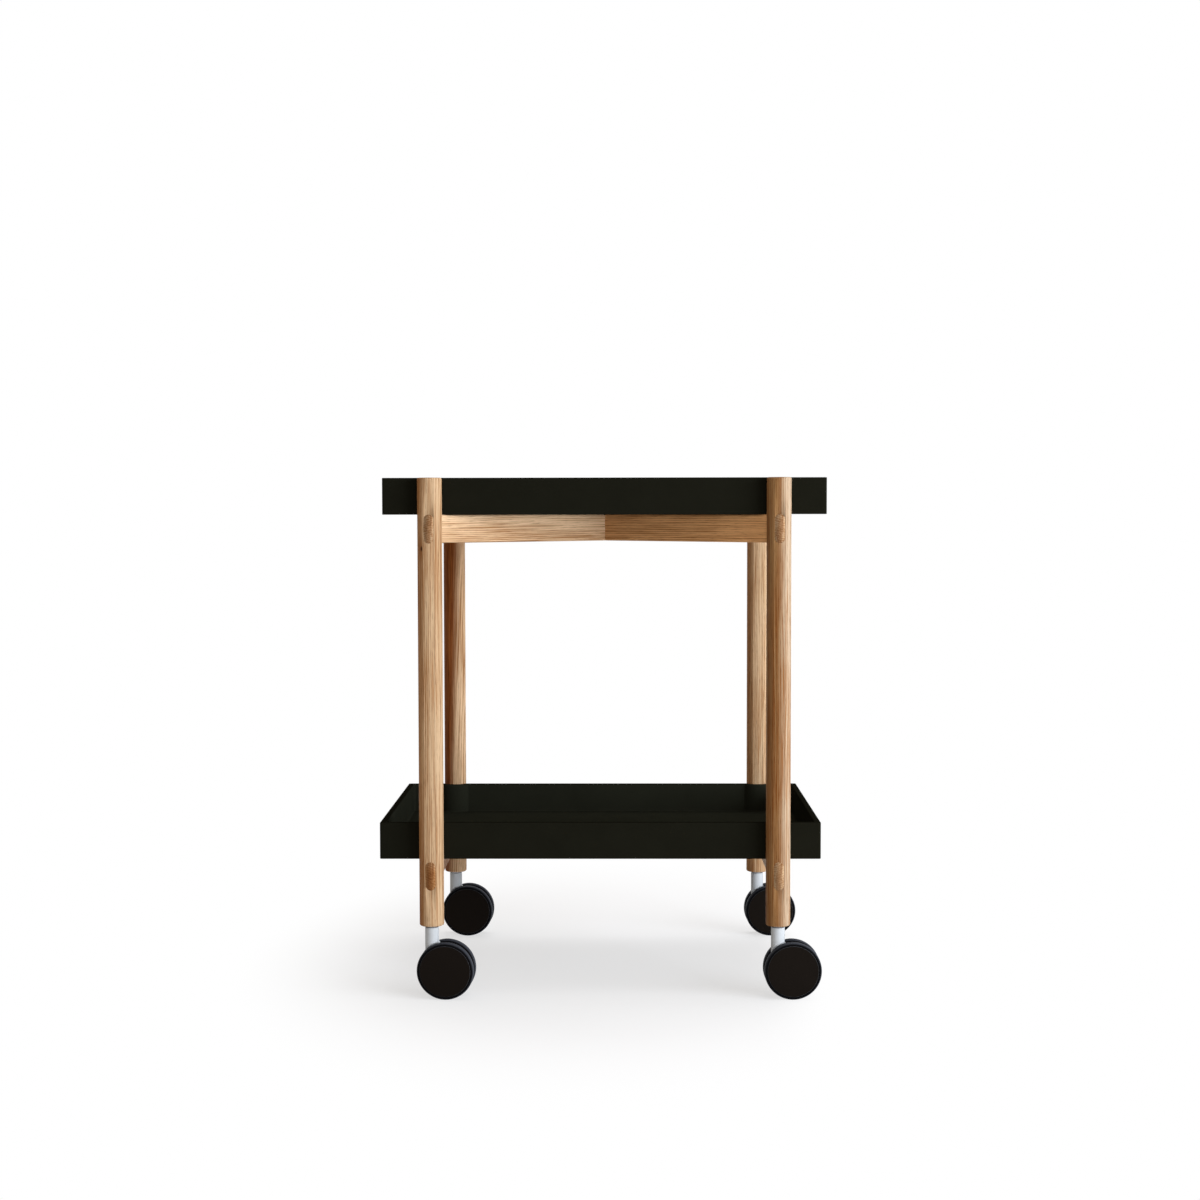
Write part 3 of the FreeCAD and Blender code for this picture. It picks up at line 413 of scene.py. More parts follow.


# The lacquer's lighter second colour is painted light that lifts the shade inside the trays.
black_lacquer = skinned("black_lacquer", (0.0098, 0.0098, 0.0066), 0.3, (0.6, 0.7), 0.0007, 0.00002,
                        painted_light=(0.0185, 0.0197, 0.0138), Specular_IOR_Level=0.0)
# The disc's light grey second colour is a painted highlight along the rim of the disc.
disc_plastic = skinned("disc_plastic", (0.0075, 0.0055, 0.0042), 0.25, (0.45, 0.55), 0.0005, 0.00003,
                       painted_light=(0.07, 0.075, 0.085), Specular_IOR_Level=0.03)
# The tyre's lighter bluish second colour is a painted sheen on its running surface.
tyre_rubber = skinned("tyre_rubber", (0.0035, 0.0035, 0.0042), 0.3, (0.4, 0.5), 0.0008, 0.00003,
                      painted_light=(0.050, 0.055, 0.068), Specular_IOR_Level=0.01)
cast_lacquer = skinned("cast_lacquer", (0.58, 0.62, 0.66), 0.06, (0.4, 0.5), 0.0006, 0.00002,
                       Specular_IOR_Level=0.03)
zinc = skinned("zinc", (0.66, 0.68, 0.71), 0.15, (0.25, 0.38), 0.0009, 0.00002, Metallic=1.0)
spring_steel = skinned("spring_steel", (0.34, 0.35, 0.37), 0.15, (0.25, 0.35), 0.0004, 0.00001,
                       Metallic=1.0)
washer_plastic = skinned("washer_plastic", (0.012, 0.011, 0.012), 0.2, (0.5, 0.6), 0.0004, 0.00002)
print(len(bpy.data.materials), "materials")

# %% [markdown]
# ## Stock
#
# New pieces start as a simple shape in a bmesh, in millimetres: round bars and blocks, as a workshop buys
# them. A round bar is really a prism with many sides. It is made a trifle larger, so that its flats and not
# its corners lie at the radius, and turned by half a side, so that flats face front, back, left and right.
# That way it touches the CAD box and doesn't cross it.

# %% Stock
MM = 0.001
SAME_POINT = 0.00001


def new_piece(name, bm):
    """Turn a bmesh into an object."""
    bmesh.ops.remove_doubles(bm, verts=bm.verts, dist=SAME_POINT)
    bmesh.ops.recalc_face_normals(bm, faces=bm.faces)
    mesh = bpy.data.meshes.new(name)
    bm.to_mesh(mesh)
    bm.free()
    piece = bpy.data.objects.new(name, mesh)
    scene.collection.objects.link(piece)
    return piece


def add_bar(bm, radius, length, centre, along="Z", segments=96):
    """A round bar in mm, its flats square to the axes."""
    turns = {"Z": Matrix.Identity(4), "Y": Matrix.Rotation(math.pi / 2, 4, "X")}
    half_step = Matrix.Rotation(math.pi / segments, 4, "Z")
    reach = radius * MM / math.cos(math.pi / segments)
    matrix = Matrix.Translation(Vector(centre) * MM) @ turns[along] @ half_step
    made = bmesh.ops.create_cone(bm, cap_ends=True, segments=segments, radius1=reach, radius2=reach,
                                 depth=length * MM, matrix=matrix)
    return made["verts"]


def add_block(bm, size, centre):
    """A block in mm."""
    matrix = Matrix.Translation(Vector(centre) * MM) @ Matrix.Diagonal((*(Vector(size) * MM), 1))
    return bmesh.ops.create_cube(bm, size=1, matrix=matrix)["verts"]


def count_triangles(piece):
    return sum(len(polygon.vertices) - 2 for polygon in piece.data.polygons)

# %% [markdown]
# ## Rounding edges
#
# Hardly an edge on real furniture is sharp. An edge is picked by where its two ends are, level at a height
# or far apart along an axis, with a hair of play, because places in a mesh are never quite exact. The bevel
# operator then rounds it.

# %% Rounding
X, Y, Z = 0, 1, 2
HAIR = 0.01


def edges_where(bm, test):
    """Edges whose two ends, in mm, both pass a test."""
    return [edge for edge in bm.edges if all(test(vert.co / MM) for vert in edge.verts)]


def edges_at_height(bm, height):
    """Edges that lie level at a height in mm."""
    return edges_where(bm, lambda co: abs(co.z - height) < HAIR)


def edges_along(bm, axis, least):
    """Edges that reach further than a length in mm along an axis."""
    return [edge for edge in bm.edges if abs((edge.verts[0].co - edge.verts[1].co)[axis]) > least * MM]


def round_edges(bm, edges, radius, segments=4):
    """Round edges to a radius in mm."""
    bmesh.ops.bevel(bm, geom=edges, offset=radius * MM, segments=segments, profile=0.5,
                    affect="EDGES", material=-1, clamp_overlap=True)

# %% [markdown]
# ## Cutting and joining
#
# One shape is cut out of another with a Boolean modifier, whose result replaces the mesh at once, so that
# the cutter can be thrown away. Most cutters here are round bars, so they have a helper of their own. Flat
# faces beside a rounded edge need weighted normals, or their shading bends.

# %% Cutting
def settle(piece):
    """Make the result of the modifiers the piece's own mesh."""
    shaped = piece.evaluated_get(bpy.context.evaluated_depsgraph_get())
    mesh = bpy.data.meshes.new_from_object(shaped)
    piece.modifiers.clear()
    piece.data = mesh
    return piece


def carve(piece, cutter, operation="DIFFERENCE"):
    """Cut a piece with another one, or join them, and throw the cutter away."""
    modifier = piece.modifiers.new("carve", "BOOLEAN")
    modifier.operation = operation
    modifier.solver = "EXACT"
    modifier.object = cutter
    settle(piece)
    bpy.data.objects.remove(cutter)
    return piece


def carve_bars(piece, radius, length, centres, along="Z", segments=128):
    """Cut round bars out of a piece."""
    bm = bmesh.new()
    for centre in centres:
        add_bar(bm, radius, length, centre, along, segments)
    return carve(piece, new_piece("bar_cutter", bm))


def soften(piece, width=0, segments=3, angle=40):
    """Round every edge sharper than an angle when a width is given, then keep the flat faces flat in the
    shading.
    """
    if width:
        bevel = piece.modifiers.new("soft_edges", "BEVEL")
        bevel.width = width * MM
        bevel.segments = segments
        bevel.limit_method = "ANGLE"
        bevel.angle_limit = math.radians(angle)
    for polygon in piece.data.polygons:
        polygon.use_smooth = True
    weights = piece.modifiers.new("flat_faces_stay_flat", "WEIGHTED_NORMAL")
    weights.weight = 60
    return settle(piece)

# %% [markdown]
# ## Where things stand
#
# The CAD boxes give the places. A leg's box tells where its axis is and how tall it is, and a tray's box
# gives the tray's size. The corners get the same names as in the CAD model.

# %% Sizes from the CAD boxes
def box_mm(node):
    low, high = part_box(node)
    return low / MM, high / MM


CORNERS = ("front_left", "front_right", "rear_left", "rear_right")
LEG_RADIUS = 16
leg_axis = {}
for corner in CORNERS:
    low, high = box_mm(f"leg_{corner}")
    leg_axis[corner] = ((low + high) / 2).xy
LEG_BOTTOM, LEG_TOP = low.z, high.z
HALF_ACROSS = leg_axis["front_right"].x
HALF_DEEP = leg_axis["rear_right"].y
RAIL_THICKNESS, RAIL_HEIGHT, RAIL_ROUND = 13, 37, 3
rail_level = {}
for level in ("upper", "lower"):
    low, high = box_mm(f"side_rail_{level}_left")
    rail_level[level] = (low.z + high.z) / 2
print("legs at", round(HALF_ACROSS, 1), round(HALF_DEEP, 1), "mm; rails at", rail_level)

# %% [markdown]
# ## The legs
#
# On the real trolley a leg is a turned round bar with its two ends just rounded by sanding. The side rails
# pass through it in oblong slots. A bar with its end edges bevelled gives the shape, and an oblong cutter,
# a hair larger than the tenon, opens the slots, so that a fine joint line shows. One leg is made and then
# copied to all four corners, because all four are alike.

# %% Leg
JOINT_GAP, LEG_END_ROUND = 0.12, 2


def add_oblong(bm, width, height, length, centre):
    """An oblong bar along Y with full-round ends, in mm."""
    verts = add_bar(bm, width / 2, length, centre, along="Y", segments=48)
    for sign in (-1, 1):
        half = [vert for vert in verts if (vert.co.z / MM - centre[Z]) * sign > 0]
        bmesh.ops.translate(bm, verts=half, vec=(0, 0, sign * (height - width) / 2 * MM))
    return verts


bm = bmesh.new()
add_bar(bm, LEG_RADIUS, LEG_TOP - LEG_BOTTOM, (0, 0, (LEG_TOP + LEG_BOTTOM) / 2), segments=128)
for end in (LEG_BOTTOM, LEG_TOP):
    round_edges(bm, edges_at_height(bm, end), LEG_END_ROUND, segments=5)
leg = new_piece("leg_blank", bm)

bm = bmesh.new()
for level in rail_level.values():
    add_oblong(bm, RAIL_THICKNESS + 2 * JOINT_GAP, RAIL_HEIGHT + 2 * JOINT_GAP, 3 * LEG_RADIUS, (0, 0, level))
carve(leg, new_piece("slot_cutter", bm))
soften(leg)
print("one leg has", count_triangles(leg), "triangles")

# %% [markdown]
# ## From a blank to the pieces in place
#
# The copy gets its finish, rides on its body and stands for its CAD node. Each leg has its own place in
# the tree, in metres: the pith's place says how the rings run and where the heartwood begins. The piths lie
# to the left of the legs, so the heartwood darkens their left, shaded sides and is partly painted shade.

# %% Legs in place
# Piths left of the legs put the darker heartwood on their left, shaded sides: partly painted shade.
LEG_TIMBER = {
    "front_left": {"pith": (-0.275, -0.190, 0.1), "heartwood_and_shade": 0.040, "knot": (-0.2366, -0.1983, 0.590)},
    # Front right leg: its greyer light tone is partly a painted sheen on the lit side.
    "front_right": {"pith": (0.172, -0.186, 0.9), "heartwood_and_shade": 0.060, "tint": RED_HEART_AND_SHADE_TINT,
                    "light": GREY_OAK_AND_PAINTED_SHEEN},
    # Rear left leg: the tilted grain spreads the deep-tinted heartwood over its top, a painted shadow under
    # the beam and tray.
    "rear_left": {"pith": (-0.285, 0.186, 0.45), "grain_turn": (0, -0.03, 0), "heartwood_and_shade": 0.0635,
                  "tint": DEEP_HEART_AND_SHADOW_TINT, "light": PALE_OAK_AND_PAINTED_LIGHT},
    "rear_right": {"pith": (0.180, 0.190, 2.6), "heartwood_and_shade": 0.042},
}


def copy_to(piece, name, matrix):
    """A copy whose mesh is moved."""
    mesh = piece.data.copy()
    mesh.transform(matrix)
    copy = bpy.data.objects.new(name, mesh)
    scene.collection.objects.link(copy)
    return copy


def dress(piece, material, body, node):
    """Give a finished piece its material, and let it stand for its CAD node."""
    piece.data.materials.clear()
    piece.data.materials.append(material)
    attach(piece, body)
    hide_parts(node)


for corner, axis in leg_axis.items():
    piece = copy_to(leg, f"turned_leg_{corner}", Matrix.Translation((axis.x * MM, axis.y * MM, 0)))
    dress(piece, oak(f"oak_leg_{corner}", **LEG_TIMBER[corner]), "frame", f"leg_{corner}")
    print(piece.name, "stands at", round(axis.x, 1), round(axis.y, 1), "mm")
bpy.data.objects.remove(leg)

# %% [markdown]
# ## The side rails
#
# A rail is a flat bar with rounded long edges. Its shoulders are coped, which means cut hollow to sit
# against the round legs, and its tenons go right through and are sanded flush with the leg's front. So the
# bar is cut with the legs' own round shape, an oblong tenon bar is joined through it, and what sticks out
# beyond the legs is cut away with a block that has the leg's hollow in it.

# %% Side rail
TENON_WASTE = 3

bm = bmesh.new()
add_block(bm, (RAIL_THICKNESS, 2 * HALF_DEEP, RAIL_HEIGHT), (0, 0, 0))
round_edges(bm, edges_along(bm, Y, HALF_DEEP), RAIL_ROUND, segments=5)
rail = new_piece("rail_blank", bm)
leg_places = [(0, end * HALF_DEEP, 0) for end in (-1, 1)]
carve_bars(rail, LEG_RADIUS, 2 * RAIL_HEIGHT, leg_places)

bm = bmesh.new()
tenon_length = 2 * (HALF_DEEP + LEG_RADIUS + TENON_WASTE)
add_oblong(bm, RAIL_THICKNESS, RAIL_HEIGHT - 2 * HAIR, tenon_length, (0, 0, 0))
carve(rail, new_piece("tenon_bar", bm), "UNION")

bm = bmesh.new()
for end in (-1, 1):
    add_block(bm, (4 * LEG_RADIUS, 2 * LEG_RADIUS, 2 * RAIL_HEIGHT), (0, end * (HALF_DEEP + LEG_RADIUS), 0))
flush_cutter = new_piece("flush_cutter", bm)
carve_bars(flush_cutter, LEG_RADIUS, 3 * RAIL_HEIGHT, leg_places)
carve(rail, flush_cutter)
soften(rail)
print("one side rail has", count_triangles(rail), "triangles")

# %% [markdown]
# ## Four rails from four parts of the tree
#
# The side rails are alike too, so one mesh serves for all four. Their grain runs from front to back, which a
# quarter turn about X tells the timber group. Each rail has its pith in another place, below it, above it or
# far along it, so that no two of them show the same figure.

# %% Side rails in place
RAIL_TIMBER = {
    ("upper", "left"): {"pith": (-0.215, 0, 0.560)},
    ("upper", "right"): {"pith": (0.245, 1, 0.675)},
    ("lower", "left"): {"pith": (-0.245, 2, 0.120), "heartwood_and_shade": 0.06},
    ("lower", "right"): {"pith": (0.210, 3, 0.225)},
}
ALONG_Y = (math.pi / 2, 0, 0)
for (level, side), place_in_tree in RAIL_TIMBER.items():
    sign = -1 if side == "left" else 1
    move = Matrix.Translation((sign * HALF_ACROSS * MM, 0, rail_level[level] * MM))
    piece = copy_to(rail, f"sanded_side_rail_{level}_{side}", move)
    finish = oak(f"oak_side_rail_{level}_{side}", grain_turn=ALONG_Y, **place_in_tree)
    dress(piece, finish, "frame", f"side_rail_{level}_{side}")
    print(piece.name, "lies at", round(rail_level[level], 1), "mm")
bpy.data.objects.remove(rail)

# %% [markdown]
# ## The crossed beams
#
# Under the upper tray two beams run from corner to corner. Where they cross, each one loses half of its
# height, so that both stay level: a halving joint. A beam is made lying along X, coped at both ends, given
# its notch from above or below, and only then turned to its diagonal. The two get different boards, one red
# and one pale; the pale one is partly painted light that lifts the shade under the upper tray.

# %% Crossed beams
DIAGONAL = 2 * math.hypot(HALF_ACROSS, HALF_DEEP)
DIAGONAL_TURN = math.atan2(HALF_DEEP, HALF_ACROSS)


def make_beam(name, sign):
    """A beam that turns to the left (sign 1, notched from above) or to the right (notched from below)."""
    bm = bmesh.new()
    add_block(bm, (DIAGONAL, RAIL_THICKNESS, RAIL_HEIGHT), (0, 0, 0))
    round_edges(bm, edges_along(bm, X, DIAGONAL / 2), RAIL_ROUND, segments=5)
    beam = new_piece(name, bm)
    carve_bars(beam, LEG_RADIUS, 2 * RAIL_HEIGHT, [(end * DIAGONAL / 2, 0, 0) for end in (-1, 1)])

    bm = bmesh.new()
    notch = add_block(bm, (4 * RAIL_THICKNESS, RAIL_THICKNESS + 2 * JOINT_GAP, RAIL_HEIGHT),
                      (0, 0, sign * (RAIL_HEIGHT - JOINT_GAP) / 2))
    other_way = Matrix.Rotation(-2 * sign * DIAGONAL_TURN, 3, "Z")
    bmesh.ops.rotate(bm, verts=notch, cent=(0, 0, 0), matrix=other_way)
    carve(beam, new_piece("notch_cutter", bm))
    soften(beam)
    beam.data.transform(Matrix.Translation((0, 0, rail_level["upper"] * MM))
                        @ Matrix.Rotation(sign * DIAGONAL_TURN, 4, "Z"))
    return beam


# The pale board is partly painted light on the beam that faces the window.
for name, sign, pith, light in (("front_left_rear_right", 1, (0.03, -0.02, 0.520), PALE_OAK_AND_PAINTED_LIGHT),
                                ("front_right_rear_left", -1, (-0.04, -0.03, 0.700), RED_OAK)):
    beam = make_beam(f"sanded_beam_{name}", sign)
    grain_turn = (math.pi / 2, sign * DIAGONAL_TURN - math.pi / 2, 0)
    finish = oak(f"oak_beam_{name}", pith, grain_turn, light=light)
    dress(beam, finish, "frame", f"cross_beam_{name}")
    print(name, count_triangles(beam), "triangles")

# %% [markdown]
# ## The inside of a tray
#
# A tray is a shallow box whose long sides go inwards round the legs. Its inside is easiest to make as a
# solid of its own, which is cut out of the tray later. It starts as a block that is a wall's thickness
# smaller all round. Four round bars, as wide as a leg's recess and its wall, take away what belongs to the
# walls round the legs. Then the upright edges are rounded. The corners beside the legs are blunt and the
# others square, so each kind gets the bevel that leaves the same radius. Last comes the edge of the floor.

# %% Inside of a tray
WALL, FLOOR, RECESS = 8, 7, LEG_RADIUS + 1.5
INNER_ROUND, FLOOR_ROUND = 4, 3
BLUNT_CORNERS, SQUARE_CORNERS, FLOOR_CORNERS = (30, 70), (70, 100), (60, 180)


def bends_between(edges, least, most):
    """Those of the edges that still exist and bend by an angle between two limits."""
    return [e for e in edges if e.is_valid and least < math.degrees(e.calc_face_angle(0)) < most]


def make_inside(low, high, notches):
    """What a tray holds, up to well above its rim."""
    size = high - low
    bm = bmesh.new()
    add_block(bm, (size.x - 2 * WALL, size.y - 2 * WALL, size.z),
              ((low.x + high.x) / 2, (low.y + high.y) / 2, low.z + FLOOR + size.z / 2))
    inside = new_piece("inside_cutter", bm)
    carve_bars(inside, RECESS + WALL, 4 * size.z, notches, segments=44)

    bm = bmesh.new()
    bm.from_mesh(inside.data)
    upright = edges_along(bm, Z, size.z / 2)
    for limits in (BLUNT_CORNERS, SQUARE_CORNERS):
        corners = bends_between(upright, *limits)
        bend = corners[0].calc_face_angle(0)
        round_edges(bm, corners, INNER_ROUND * math.tan(bend / 2))
    floor_edges = bends_between(edges_at_height(bm, low.z + FLOOR), *FLOOR_CORNERS)
    round_edges(bm, floor_edges, FLOOR_ROUND, segments=5)
    bm.to_mesh(inside.data)
    bm.free()
    return inside


print("walls of", WALL, "mm and a floor of", FLOOR, "mm, with a recess of", RECESS, "mm round each leg")

# %% [markdown]
# ## The trays
#
# The outside is made as a pattern maker would: a block with rounded corners, and four round notches cut
# from its edges. The inside is cut away and the rim is softened last. Points within the inner faces get
# painted light, so that the finish is a shade lighter there, as if more light fell into the tray.

# %% Trays
OUTER_ROUND, RIM_ROUND, SKIN_DEEP = 3, 0.9, 0.05


def mark_painted_light(piece, share_at):
    """Store how much painted light the surface gets at each point, from 0 to 1, for the finish to read."""
    shares = [min(1.0, max(0.0, share_at(vert.co / MM))) for vert in piece.data.vertices]
    piece.data.attributes.new("painted_light", "FLOAT", "POINT").data.foreach_set("value", shares)


def make_tray(name, node):
    low, high = box_mm(node)
    middle = (low + high) / 2
    size = high - low
    notches = [(sx * HALF_ACROSS, sy * HALF_DEEP, middle.z) for sx in (-1, 1) for sy in (-1, 1)]

    bm = bmesh.new()
    add_block(bm, size, middle)
    round_edges(bm, edges_along(bm, Z, size.z / 2), OUTER_ROUND, segments=6)
    tray = new_piece(name, bm)
    carve_bars(tray, RECESS, 2 * size.z, notches, segments=64)
    carve(tray, make_inside(low, high, notches))
    soften(tray, RIM_ROUND, angle=45)

    hollow = size / 2 - Vector((WALL, WALL, FLOOR))

    def is_inside(co):
        off = co - middle
        return (abs(off.x) < hollow.x + SKIN_DEEP and abs(off.y) < hollow.y + SKIN_DEEP
                and off.z > -hollow.z - SKIN_DEEP)

    # Painted light: the inside of a tray is made a shade lighter, as if more light fell into it.
    mark_painted_light(tray, is_inside)
    return tray


for level in ("upper", "lower"):
    tray = make_tray(f"moulded_tray_{level}", f"tray_{level}")
    dress(tray, black_lacquer, f"{level}_tray", f"tray_{level}")
    print(level, "tray has", count_triangles(tray), "triangles")

# %% [markdown]
# ## The tyre
#
# Each caster has two wheels: a dark plastic core with a flat outer disc, and a rubber tyre round it. Both
# are bodies of revolution, so a few points of the section are spun about the axle. The tyre's shoulders
# and the small groove beside the disc are rounded afterwards, because they are what the lamps catch. From
# the shoulder outwards the running surface gets a painted sheen: a lighter bluish grey in place of
# highlights.

# %% Tyre
WHEEL_RADIUS, CORE_RADIUS = 37.5, 33.5
INNER_FACE, OUTER_FACE = 5, 16
SHOULDER_ROUND, GROOVE_ROUND = 3.2, 0.5
SHEEN_START, SHEEN_FULL = 35.9, 37.2


def spun(section, closed=False):
    """Spin points (distance from the axle, place along it), in mm, about the Y axis."""
    bm = bmesh.new()
    verts = [bm.verts.new((radius * MM, along * MM, 0)) for radius, along in section]
    pairs = list(zip(verts, verts[1:])) + ([(verts[-1], verts[0])] if closed else [])
    edges = [bm.edges.new(pair) for pair in pairs]
    bmesh.ops.spin(bm, geom=verts + edges, cent=(0, 0, 0), axis=(0, 1, 0), angle=2 * math.pi,
                   steps=96, use_merge=True)
    bmesh.ops.remove_doubles(bm, verts=bm.verts, dist=SAME_POINT)
    return bm


def from_axle(co):
    """How far a point is from the wheel's axle."""
    return math.hypot(co.x, co.z)


def ring_edges(bm, radius, along):
    """The circle of edges at a distance from the axle and a place along it."""
    return edges_where(bm, lambda co: abs(from_axle(co) - radius) < HAIR and abs(co.y - along) < HAIR)


bm = spun([(CORE_RADIUS, INNER_FACE), (WHEEL_RADIUS, INNER_FACE), (WHEEL_RADIUS, OUTER_FACE),
           (CORE_RADIUS, OUTER_FACE)], closed=True)
for along in (INNER_FACE, OUTER_FACE):
    round_edges(bm, ring_edges(bm, WHEEL_RADIUS, along), SHOULDER_ROUND, segments=8)
round_edges(bm, ring_edges(bm, CORE_RADIUS, OUTER_FACE), GROOVE_ROUND, segments=3)
tyre = soften(new_piece("tyre_blank", bm))
# Painted sheen: the running surface is lighter from the shoulder outwards.
mark_painted_light(tyre, lambda co: (from_axle(co) - SHEEN_START) / (SHEEN_FULL - SHEEN_START))
print("one tyre has", count_triangles(tyre), "triangles")

# %% [markdown]
# ## The wheel's core
#
# The core is moulded, so it is a thin shell: a rim, a web that shows as the disc on the outer side, and a
# hub with the axle's bore. Six ribs stiffen it. They reach a little into hub, rim and web, because a
# Boolean union works best on shapes that cross. The rounded edge of the disc gets a thin painted highlight.

# %% Core
HUB, RIM, WEB, BORE, BORE_END = 8, 29.5, 13, 3.08, 14
DISC_ROUND, INNER_EDGE_ROUND = 0.7, 0.4
RIBS, RIB_THICKNESS, RIB_SET_BACK, WALL_BITE, WEB_BITE = 6, 1.6, 2, 1.5, 0.5
HIGHLIGHT_RING = (0.02, 0.3)

bm = spun([(0, BORE_END), (BORE, BORE_END), (BORE, INNER_FACE), (HUB, INNER_FACE), (HUB, WEB),
           (RIM, WEB), (RIM, INNER_FACE), (CORE_RADIUS, INNER_FACE), (CORE_RADIUS, OUTER_FACE),
           (0, OUTER_FACE)])
round_edges(bm, ring_edges(bm, CORE_RADIUS, OUTER_FACE), DISC_ROUND)
for radius in (HUB, RIM, CORE_RADIUS):
    round_edges(bm, ring_edges(bm, radius, INNER_FACE), INNER_EDGE_ROUND, segments=2)
core = new_piece("core_blank", bm)

bm = bmesh.new()
rib_low = Vector((HUB - WALL_BITE, INNER_FACE + RIB_SET_BACK, -RIB_THICKNESS / 2))
rib_high = Vector((RIM + WALL_BITE, WEB + WEB_BITE, RIB_THICKNESS / 2))
for turn in range(RIBS):
    rib = add_block(bm, rib_high - rib_low, (rib_high + rib_low) / 2)
    spoke = Matrix.Rotation(turn * 2 * math.pi / RIBS, 3, "Y")
    bmesh.ops.rotate(bm, verts=rib, cent=(0, 0, 0), matrix=spoke)
carve(core, new_piece("ribs", bm), "UNION")
soften(core)
# Painted highlight: a thin lighter ring on the rounded edge of the disc.
mark_painted_light(core, lambda co: co.y > OUTER_FACE - DISC_ROUND + HAIR
          and HIGHLIGHT_RING[0] < CORE_RADIUS - from_axle(co) < HIGHLIGHT_RING[1])
print("one core has", count_triangles(core), "triangles")

# %% [markdown]
# ## The caster housings
#
# The light grey housing is one casting. A round stem takes the swivel pin, and a flat keel between the
# wheels carries the axle. The keel's outline is the skin that would stretch round the stem's foot and the
# axle's boss, which is exactly what a convex hull gives, so the keel is made first.

# %% Keel
AXLE_HEIGHT, TRAIL = WHEEL_RADIUS, 19
STEM_RADIUS, STEM_BOTTOM = 9, 48
KEEL_THICKNESS, KEEL_TOP, KEEL_REACH, BOSS_RADIUS = 9.2, 76.5, 7.5, 9.5

bm = bmesh.new()
add_bar(bm, BOSS_RADIUS, KEEL_THICKNESS, (TRAIL, 0, AXLE_HEIGHT), along="Y", segments=64)
add_block(bm, (2 * KEEL_REACH, KEEL_THICKNESS, KEEL_TOP - STEM_BOTTOM), (0, 0, (KEEL_TOP + STEM_BOTTOM) / 2))
hull = bmesh.ops.convex_hull(bm, input=bm.verts)
spare = [item for item in hull["geom_interior"] if isinstance(item, bmesh.types.BMVert)]
bmesh.ops.delete(bm, geom=spare, context="VERTS")
bmesh.ops.delete(bm, geom=[f for f in bm.faces if f in set(hull["geom_unused"])], context="FACES_ONLY")
bmesh.ops.dissolve_limit(bm, angle_limit=math.radians(0.5), verts=bm.verts, edges=bm.edges)
keel = new_piece("keel", bm)
print("the keel has", len(keel.data.polygons), "faces")

# %% [markdown]
# ## Stem and keel as one casting
#
# The stem is a round bar. Two wide round bars cut it back on both sides, so that it clears the turning
# wheels. Then a union joins it to the keel, and a small bevel on every sharp edge gives the soft look of a
# casting that was tumbled and lacquered.

# %% Housing
WHEEL_ROOM, ROOM_DEPTH = WHEEL_RADIUS + 1.5, 20
STEM_END_ROUND, CASTING_ROUND = 0.9, 0.5
STEM_TOP = box_mm("caster_housing_front_left")[1].z

bm = bmesh.new()
add_bar(bm, STEM_RADIUS, STEM_TOP - STEM_BOTTOM, (0, 0, (STEM_TOP + STEM_BOTTOM) / 2))
round_edges(bm, edges_at_height(bm, STEM_TOP), STEM_END_ROUND)
housing = new_piece("housing_blank", bm)
wheel_places = [(TRAIL, side * (KEEL_THICKNESS + ROOM_DEPTH) / 2, AXLE_HEIGHT) for side in (-1, 1)]
carve_bars(housing, WHEEL_ROOM, ROOM_DEPTH, wheel_places, along="Y")
carve(housing, keel, "UNION")
soften(housing, CASTING_ROUND, angle=50)
print("one housing has", count_triangles(housing), "triangles")

# %% [markdown]
# ## The casters in place
#
# A caster swings about its leg's axis, and each one stands at its own small angle. The CAD box of its axle
# shows where the axle is, and the direction from the leg to it is the caster's heading. The two wheels of a
# pair are the same piece: the near one is turned half round, so that its disc faces outwards too.

# %% Casters in place
for corner, axis in leg_axis.items():
    low, high = box_mm(f"caster_axle_{corner}")
    axle_middle = (low + high) / 2
    heading = math.atan2(axle_middle.y - axis.y, axle_middle.x - axis.x)
    at_leg = Matrix.Translation((axis.x * MM, axis.y * MM, 0)) @ Matrix.Rotation(heading, 4, "Z")
    piece = copy_to(housing, f"cast_housing_{corner}", at_leg)
    dress(piece, cast_lacquer, f"caster_{corner}", f"caster_housing_{corner}")
    at_axle = at_leg @ Matrix.Translation((TRAIL * MM, 0, AXLE_HEIGHT * MM))
    for side, half_turn in (("near", math.pi), ("far", 0)):
        at_wheel = at_axle @ Matrix.Rotation(half_turn, 4, "Z")
        wheel = f"{corner}_{side}"
        dress(copy_to(core, f"moulded_core_{wheel}", at_wheel), disc_plastic, f"wheel_{wheel}",
              f"wheel_core_{wheel}")
        dress(copy_to(tyre, f"rubber_tyre_{wheel}", at_wheel), tyre_rubber, f"wheel_{wheel}",
              f"wheel_tyre_{wheel}")
    print(corner, "caster is turned by", round(math.degrees(heading), 1), "degrees")
for blank in (housing, core, tyre):
    bpy.data.objects.remove(blank)

# %% [markdown]
# ## Finishes for the parts that stay as they are
#
# The sockets, pins, washers, rings, axles and dowels are small and right as the CAD model has them. They
# keep their meshes and only get a finish.

# %% Finishes on CAD parts
KEPT = {"cross_dowels": beech, "caster_socket": zinc, "caster_pin": zinc, "caster_washer": washer_plastic,
        "caster_snap_ring": spring_steel, "caster_axle": spring_steel}
for start, material in KEPT.items():
    kept = [node for name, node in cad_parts.items() if name.startswith(start)]
    for node in kept:
        node.data.materials.clear()
        node.data.materials.append(material)
    print(material.name, "on", len(kept), "parts:", start)

# %% [markdown]
# ## Background
#
# The trolley stands on a white floor that runs into a white background. That white comes from the world and
# the floor themselves: seen by the camera, or in a reflection, both are lit up. What falls on the trolley
# is a dimmer and warmer light, at a level at which a colour renders about as it is written.

# %% World
ROOM_LIGHT, ROOM_STRENGTH = (1.0, 0.83, 0.66, 1), 0.29
WHITE = (1, 1, 1, 1)

world = bpy.data.worlds.new("studio")
scene.world = world
world.use_nodes = True
tree = world.node_tree
tree.nodes.clear()


